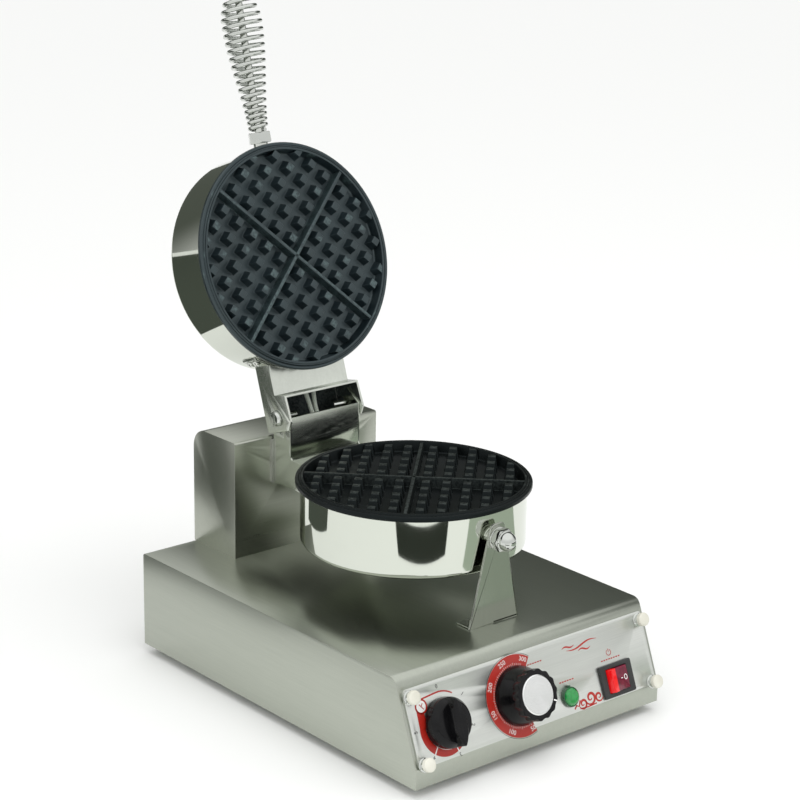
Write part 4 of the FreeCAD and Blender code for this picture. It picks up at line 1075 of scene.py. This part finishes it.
bevelledCopy("switch_body", "base", look["blackPlastic"], 0.0004, 2)
bevelledCopy("switch_rocker", "rocker", look["rocker"], 0.0004, 2)
rockerSpot = Vector(joints["switch_rock"]["pos_m"])
rockerFace = panelFrame(rockerSpot) @ Matrix.Rotation(math.radians(9.0), 4, "Y")
rightFace = rockerFace @ Matrix.Translation(mm(0, 0, 4.3)) @ Matrix.Rotation(-math.radians(6.74), 4, "Y")


# Oval (centre + wide cos t, high sin t) in mm.
def oval(centre, wide, high):
    t = np.radians(np.linspace(0, 359.9, 40))
    return np.column_stack([centre + wide * np.cos(t), high * np.sin(t)]) * 0.001


offMark = strip(oval(6.3, 1.15, 1.6), oval(6.3, 1.75, 2.2), mm(0.02), mm(0.08))
onMark = slab(np.array([(1.2, -0.35), (3.0, -0.35), (3.0, 0.35), (1.2, 0.35)]) * 0.001, mm(0.02), mm(0.08))
addPiece("rockerMarks", [placed(offMark, rightFace), placed(onMark, rightFace)], "rocker", look["white"])

lampPlace = onPanel(31.8, 13.5)
lampLens = spun([(0, 1.6), (6.9, 1.6), (6.9, 3.2, 0.5), (6.0, 5.4, 2.5), (0, 6.5)], 64, 8)
addPiece("lampLens", [placed(lampLens, lampPlace)], "base", look["lens"], ["lamp_lens"])
lampRim = spun([(6.95, 1.55), (7.8, 1.55, 0.1), (7.8, 3.4, 0.5), (7.0, 3.7, 0.3)], 64, 5, closed=True)
notch = spun([(0, 1.6), (1.0, 1.6), (1.0, 3.9, 0.3), (0, 3.9)], 20, 3)
notchPlace = lampPlace @ Matrix.Translation(mm(0, 8.0, 0))
addPiece("lampRim", [placed(lampRim, lampPlace), placed(notch, notchPlace)], "base",
         look["greenHolder"])
print("switch and lamp made")


# black coated plate over the leads in the lid arm's channel, a dark sheet that puts painted shade inside the
# hinge gap

cover = dict(half=35.9, back=8.0, front=-36.0, low=14.4, thick=1.2)
shadeSheetLine = np.array([(-cover["half"], cover["front"]), (cover["half"], cover["front"]),
                      (cover["half"], cover["back"]), (-cover["half"], cover["back"])]) * 0.001
shadeSheetPart = slab(shadeSheetLine, mm(cover["low"]), mm(cover["low"] + cover["thick"]))
shadeSheetPlace = openLid @ Matrix.Translation(hinge)
addPiece("hingeShadeSheet", [placed(shadeSheetPart, shadeSheetPlace)], "lid", look["nonstick"])
print("arm cover made")


# heater leads that cross the hinge

leadRoute = dict(radius=1.8, sides=14, steps=60)
sleeveUnit = 0.05


# Braided sleeve from the lower bracket past the hinge axis into the lid's arm.
def leadPiece(name, side):
    inLid = openLid.to_3x3()
    inBase = [(2.4, -3.0, -42.0), (2.4, -3.0, -27.0), (2.4, -3.0, -12.0), (2.4, -1.5, -3.4)]
    inArm = [(2.6, -3.4, 0.6), (3.8, -14, 1.2), (5.0, -22, 1.2), (6.2, -30, 1.2)]
    points = [Vector(mm(side * x, y, z)) + hinge for x, y, z in inBase]
    points += [inLid @ Vector(mm(side * x, y, z)) + hinge for x, y, z in inArm]
    corners = np.array(points)
    # Catmull-Rom curve through the route's points
    padded = np.concatenate([2 * corners[:1] - corners[1:2], corners, 2 * corners[-1:] - corners[-2:-1]])
    t = np.linspace(0, 1, leadRoute["steps"] // (len(corners) - 1) + 1)[:-1][:, None]
    spans = [0.5 * (2 * b + (c - a) * t + (2 * a - 5 * b + 4 * c - d) * t ** 2
                    + (3 * b - a - 3 * c + d) * t ** 3)
             for a, b, c, d in zip(padded, padded[1:], padded[2:], padded[3:])]
    path = np.concatenate(spans + [corners[-1:]])
    normal, binormal = alongPath(path, np.array([1.0, 0, 0]))
    tube = swept(path, normal, binormal, mm(leadRoute["radius"]), leadRoute["sides"])
    return addPiece(name, [tube], "base", look["sleeve"], sharp=60), path


# UV map: round the sleeve in U, along it in V.
def sleeveUv(piece, path):
    mesh = piece.data
    layer = mesh.uv_layers.new(name="sleeve")
    co = np.zeros(len(mesh.vertices) * 3)
    mesh.vertices.foreach_get("co", co)
    co = co.reshape(-1, 3)
    nearest = np.argmin(((co[:, None] - path[None]) ** 2).sum(2), 1)
    run = np.concatenate([[0], np.cumsum(np.linalg.norm(np.diff(path, axis=0), axis=1))]) / sleeveUnit
    away = co - path[nearest]
    normal, binormal = alongPath(path, np.array([1.0, 0, 0]))
    across, outward = (away * binormal[nearest]).sum(1), (away * normal[nearest]).sum(1)
    around = np.arctan2(across, outward) / (2 * np.pi) + 0.5
    loops = np.zeros(len(mesh.loops), int)
    mesh.loops.foreach_get("vertex_index", loops)
    layer.data.foreach_set("uv", np.column_stack([around[loops], run[nearest][loops]]).ravel())


leads = {"heaterLeadLeft": (-1, "lower_heater_leads"), "heaterLeadRight": (1, "upper_heater_leads")}
for name, (side, node) in leads.items():
    piece, path = leadPiece(name, side)
    sleeveUv(piece, path)
    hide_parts(node)
    bpy.context.view_layer.update()
    piece.parent = None
    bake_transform(piece)
print("leads made")


# floor, lights, camera

view = dict(azimuth=-40.58, elevation=17.14, roll=0.912, distance=1.75758,
            target=(-0.02214, -0.04181, 0.24733), lens=104.0, sensor=36.0)
studio = dict(floor=12.0, top=1.2, front=0.92, back=(0.095, 0.105, 0.09), backFrom=0.05, backFull=0.6,
              low=0.42, high=0.72)


# A flat matt sheet that isn't part of the object.
def flatSheet(name, corners, colour):
    mesh = bpy.data.meshes.new(name)
    mesh.from_pydata(corners, [], [(0, 1, 2, 3)])
    material = bpy.data.materials.new(name)
    material.use_nodes = True
    shader = material.node_tree.nodes["Principled BSDF"]
    shader.inputs["Base Color"].default_value = (*colour, 1)
    shader.inputs["Roughness"].default_value = 0.9
    shader.inputs["Specular IOR Level"].default_value = 0.0
    mesh.materials.append(material)
    sheet = bpy.data.objects.new(name, mesh)
    bpy.context.scene.collection.objects.link(sheet)
    return sheet


def addFloor():
    wide = studio["floor"]
    floor = flatSheet("paleFloor", [(-wide, -wide, 0), (wide, -wide, 0), (wide, wide, 0), (-wide, wide, 0)],
                      (0.93, 0.935, 0.925))


# Soft room: bright ceiling, pale front, and a dark wall behind that the level faces mirror.
def addWorld():
    world = bpy.data.worlds.new("softRoom")
    bpy.context.scene.world = world
    world.use_nodes = True
    tree = world.node_tree
    background = tree.nodes["Background"]
    direction = tree.nodes.new("ShaderNodeTexCoord").outputs["Generated"]
    axes = tree.nodes.new("ShaderNodeSeparateXYZ")
    tree.links.new(direction, axes.inputs[0])
    away = Vector((-math.sin(math.radians(view["azimuth"])), math.cos(math.radians(view["azimuth"]))))
    facing = plus(tree, times(tree, axes.outputs["X"], away.x),
                      times(tree, axes.outputs["Y"], away.y))
    behind = rampNode(tree, facing, studio["backFrom"], studio["backFull"])
    lowDown = rampNode(tree, axes.outputs["Z"], studio["low"], studio["high"], 1.0, 0.0)
    upward = rampNode(tree, axes.outputs["Z"], 0.3, 0.8)
    room = mixColour(tree, upward, (studio["front"],) * 3, (studio["top"],) * 3)
    shade = mixColour(tree, times(tree, behind, lowDown), room, studio["back"])
    tree.links.new(shade, background.inputs["Color"])
    background.inputs["Strength"].default_value = 1.0


# Flat cards lie round the object, seen only in its polished faces: heading in degrees, counted from the
# camera's side to the right, near and far run, half widths there, in metres, and how pale the card is.
cards = {
    "frontCard": (8, 0.39, 0.535, 0.15, 0.25, 0.03),
    "rightCard": (82, 0.30, 0.64, 0.22, 0.30, 0.36),
    "rightDarkCard": (82, 0.65, 1.60, 0.40, 0.90, 0.07),
    "leftDarkCard": (-106, 0.43, 6.0, 0.13, 2.2, 0.07),
}


def addCard(name, heading, near, far, nearHalf, farHalf, grey):
    camera = math.radians(view["azimuth"])
    toCamera = Vector((math.sin(camera), -math.cos(camera), 0))
    towards = Matrix.Rotation(math.radians(heading), 3, "Z") @ toCamera
    aside = towards.cross(zAxis)
    foot = panAxis + zAxis * mm(1)
    corners = [foot + towards * run + aside * side for run, side in
               ((near, -nearHalf), (near, nearHalf), (far, farHalf), (far, -farHalf))]
    card = flatSheet(name, [tuple(c) for c in corners], (grey, grey * 1.15, grey * 0.95))
    card.visible_camera = card.visible_diffuse = card.visible_shadow = False


def addArea(name, location, target, size, power, colour=(1, 1, 1)):
    light = bpy.data.lights.new(name, "AREA")
    light.shape = "RECTANGLE"
    light.size, light.size_y = size
    light.energy = power
    light.color = colour
    lamp = bpy.data.objects.new(name, light)
    lamp.location = location
    lamp.rotation_euler = (Vector(target) - Vector(location)).to_track_quat("-Z", "Y").to_euler()
    lamp.visible_glossy = False                              # the metal mirrors the room, not the lamps
    bpy.context.scene.collection.objects.link(lamp)


def addCamera():
    az, el, roll = (math.radians(view[k]) for k in ("azimuth", "elevation", "roll"))
    forward = Vector((-math.sin(az) * math.cos(el), math.cos(az) * math.cos(el), -math.sin(el)))
    level = forward.cross(zAxis).normalized()
    upright = level.cross(forward)
    right = level * math.cos(roll) + upright * math.sin(roll)
    camera = bpy.data.cameras.new("studioCamera")
    camera.lens, camera.sensor_width = view["lens"], view["sensor"]
    camera.clip_end = 50
    holder = bpy.data.objects.new("studioCamera", camera)
    spot = Vector(view["target"]) - forward * view["distance"]
    holder.matrix_world = frameAt(spot, right, right.cross(forward), -forward)
    bpy.context.scene.collection.objects.link(holder)
    bpy.context.scene.camera = holder


addFloor()
addWorld()
for name, numbers in cards.items():
    addCard(name, *numbers)
addArea("overhead", (-0.2, -0.7, 2.0), (0, -0.1, 0.1), (1.6, 1.0), 9)
addArea("frontRight", (1.5, -1.9, 1.0), (0, 0, 0.15), (0.9, 0.9), 4)
addCamera()
bpy.context.scene.view_settings.view_transform = "Standard"
bpy.context.scene.view_settings.look = "None"
print("studio set")
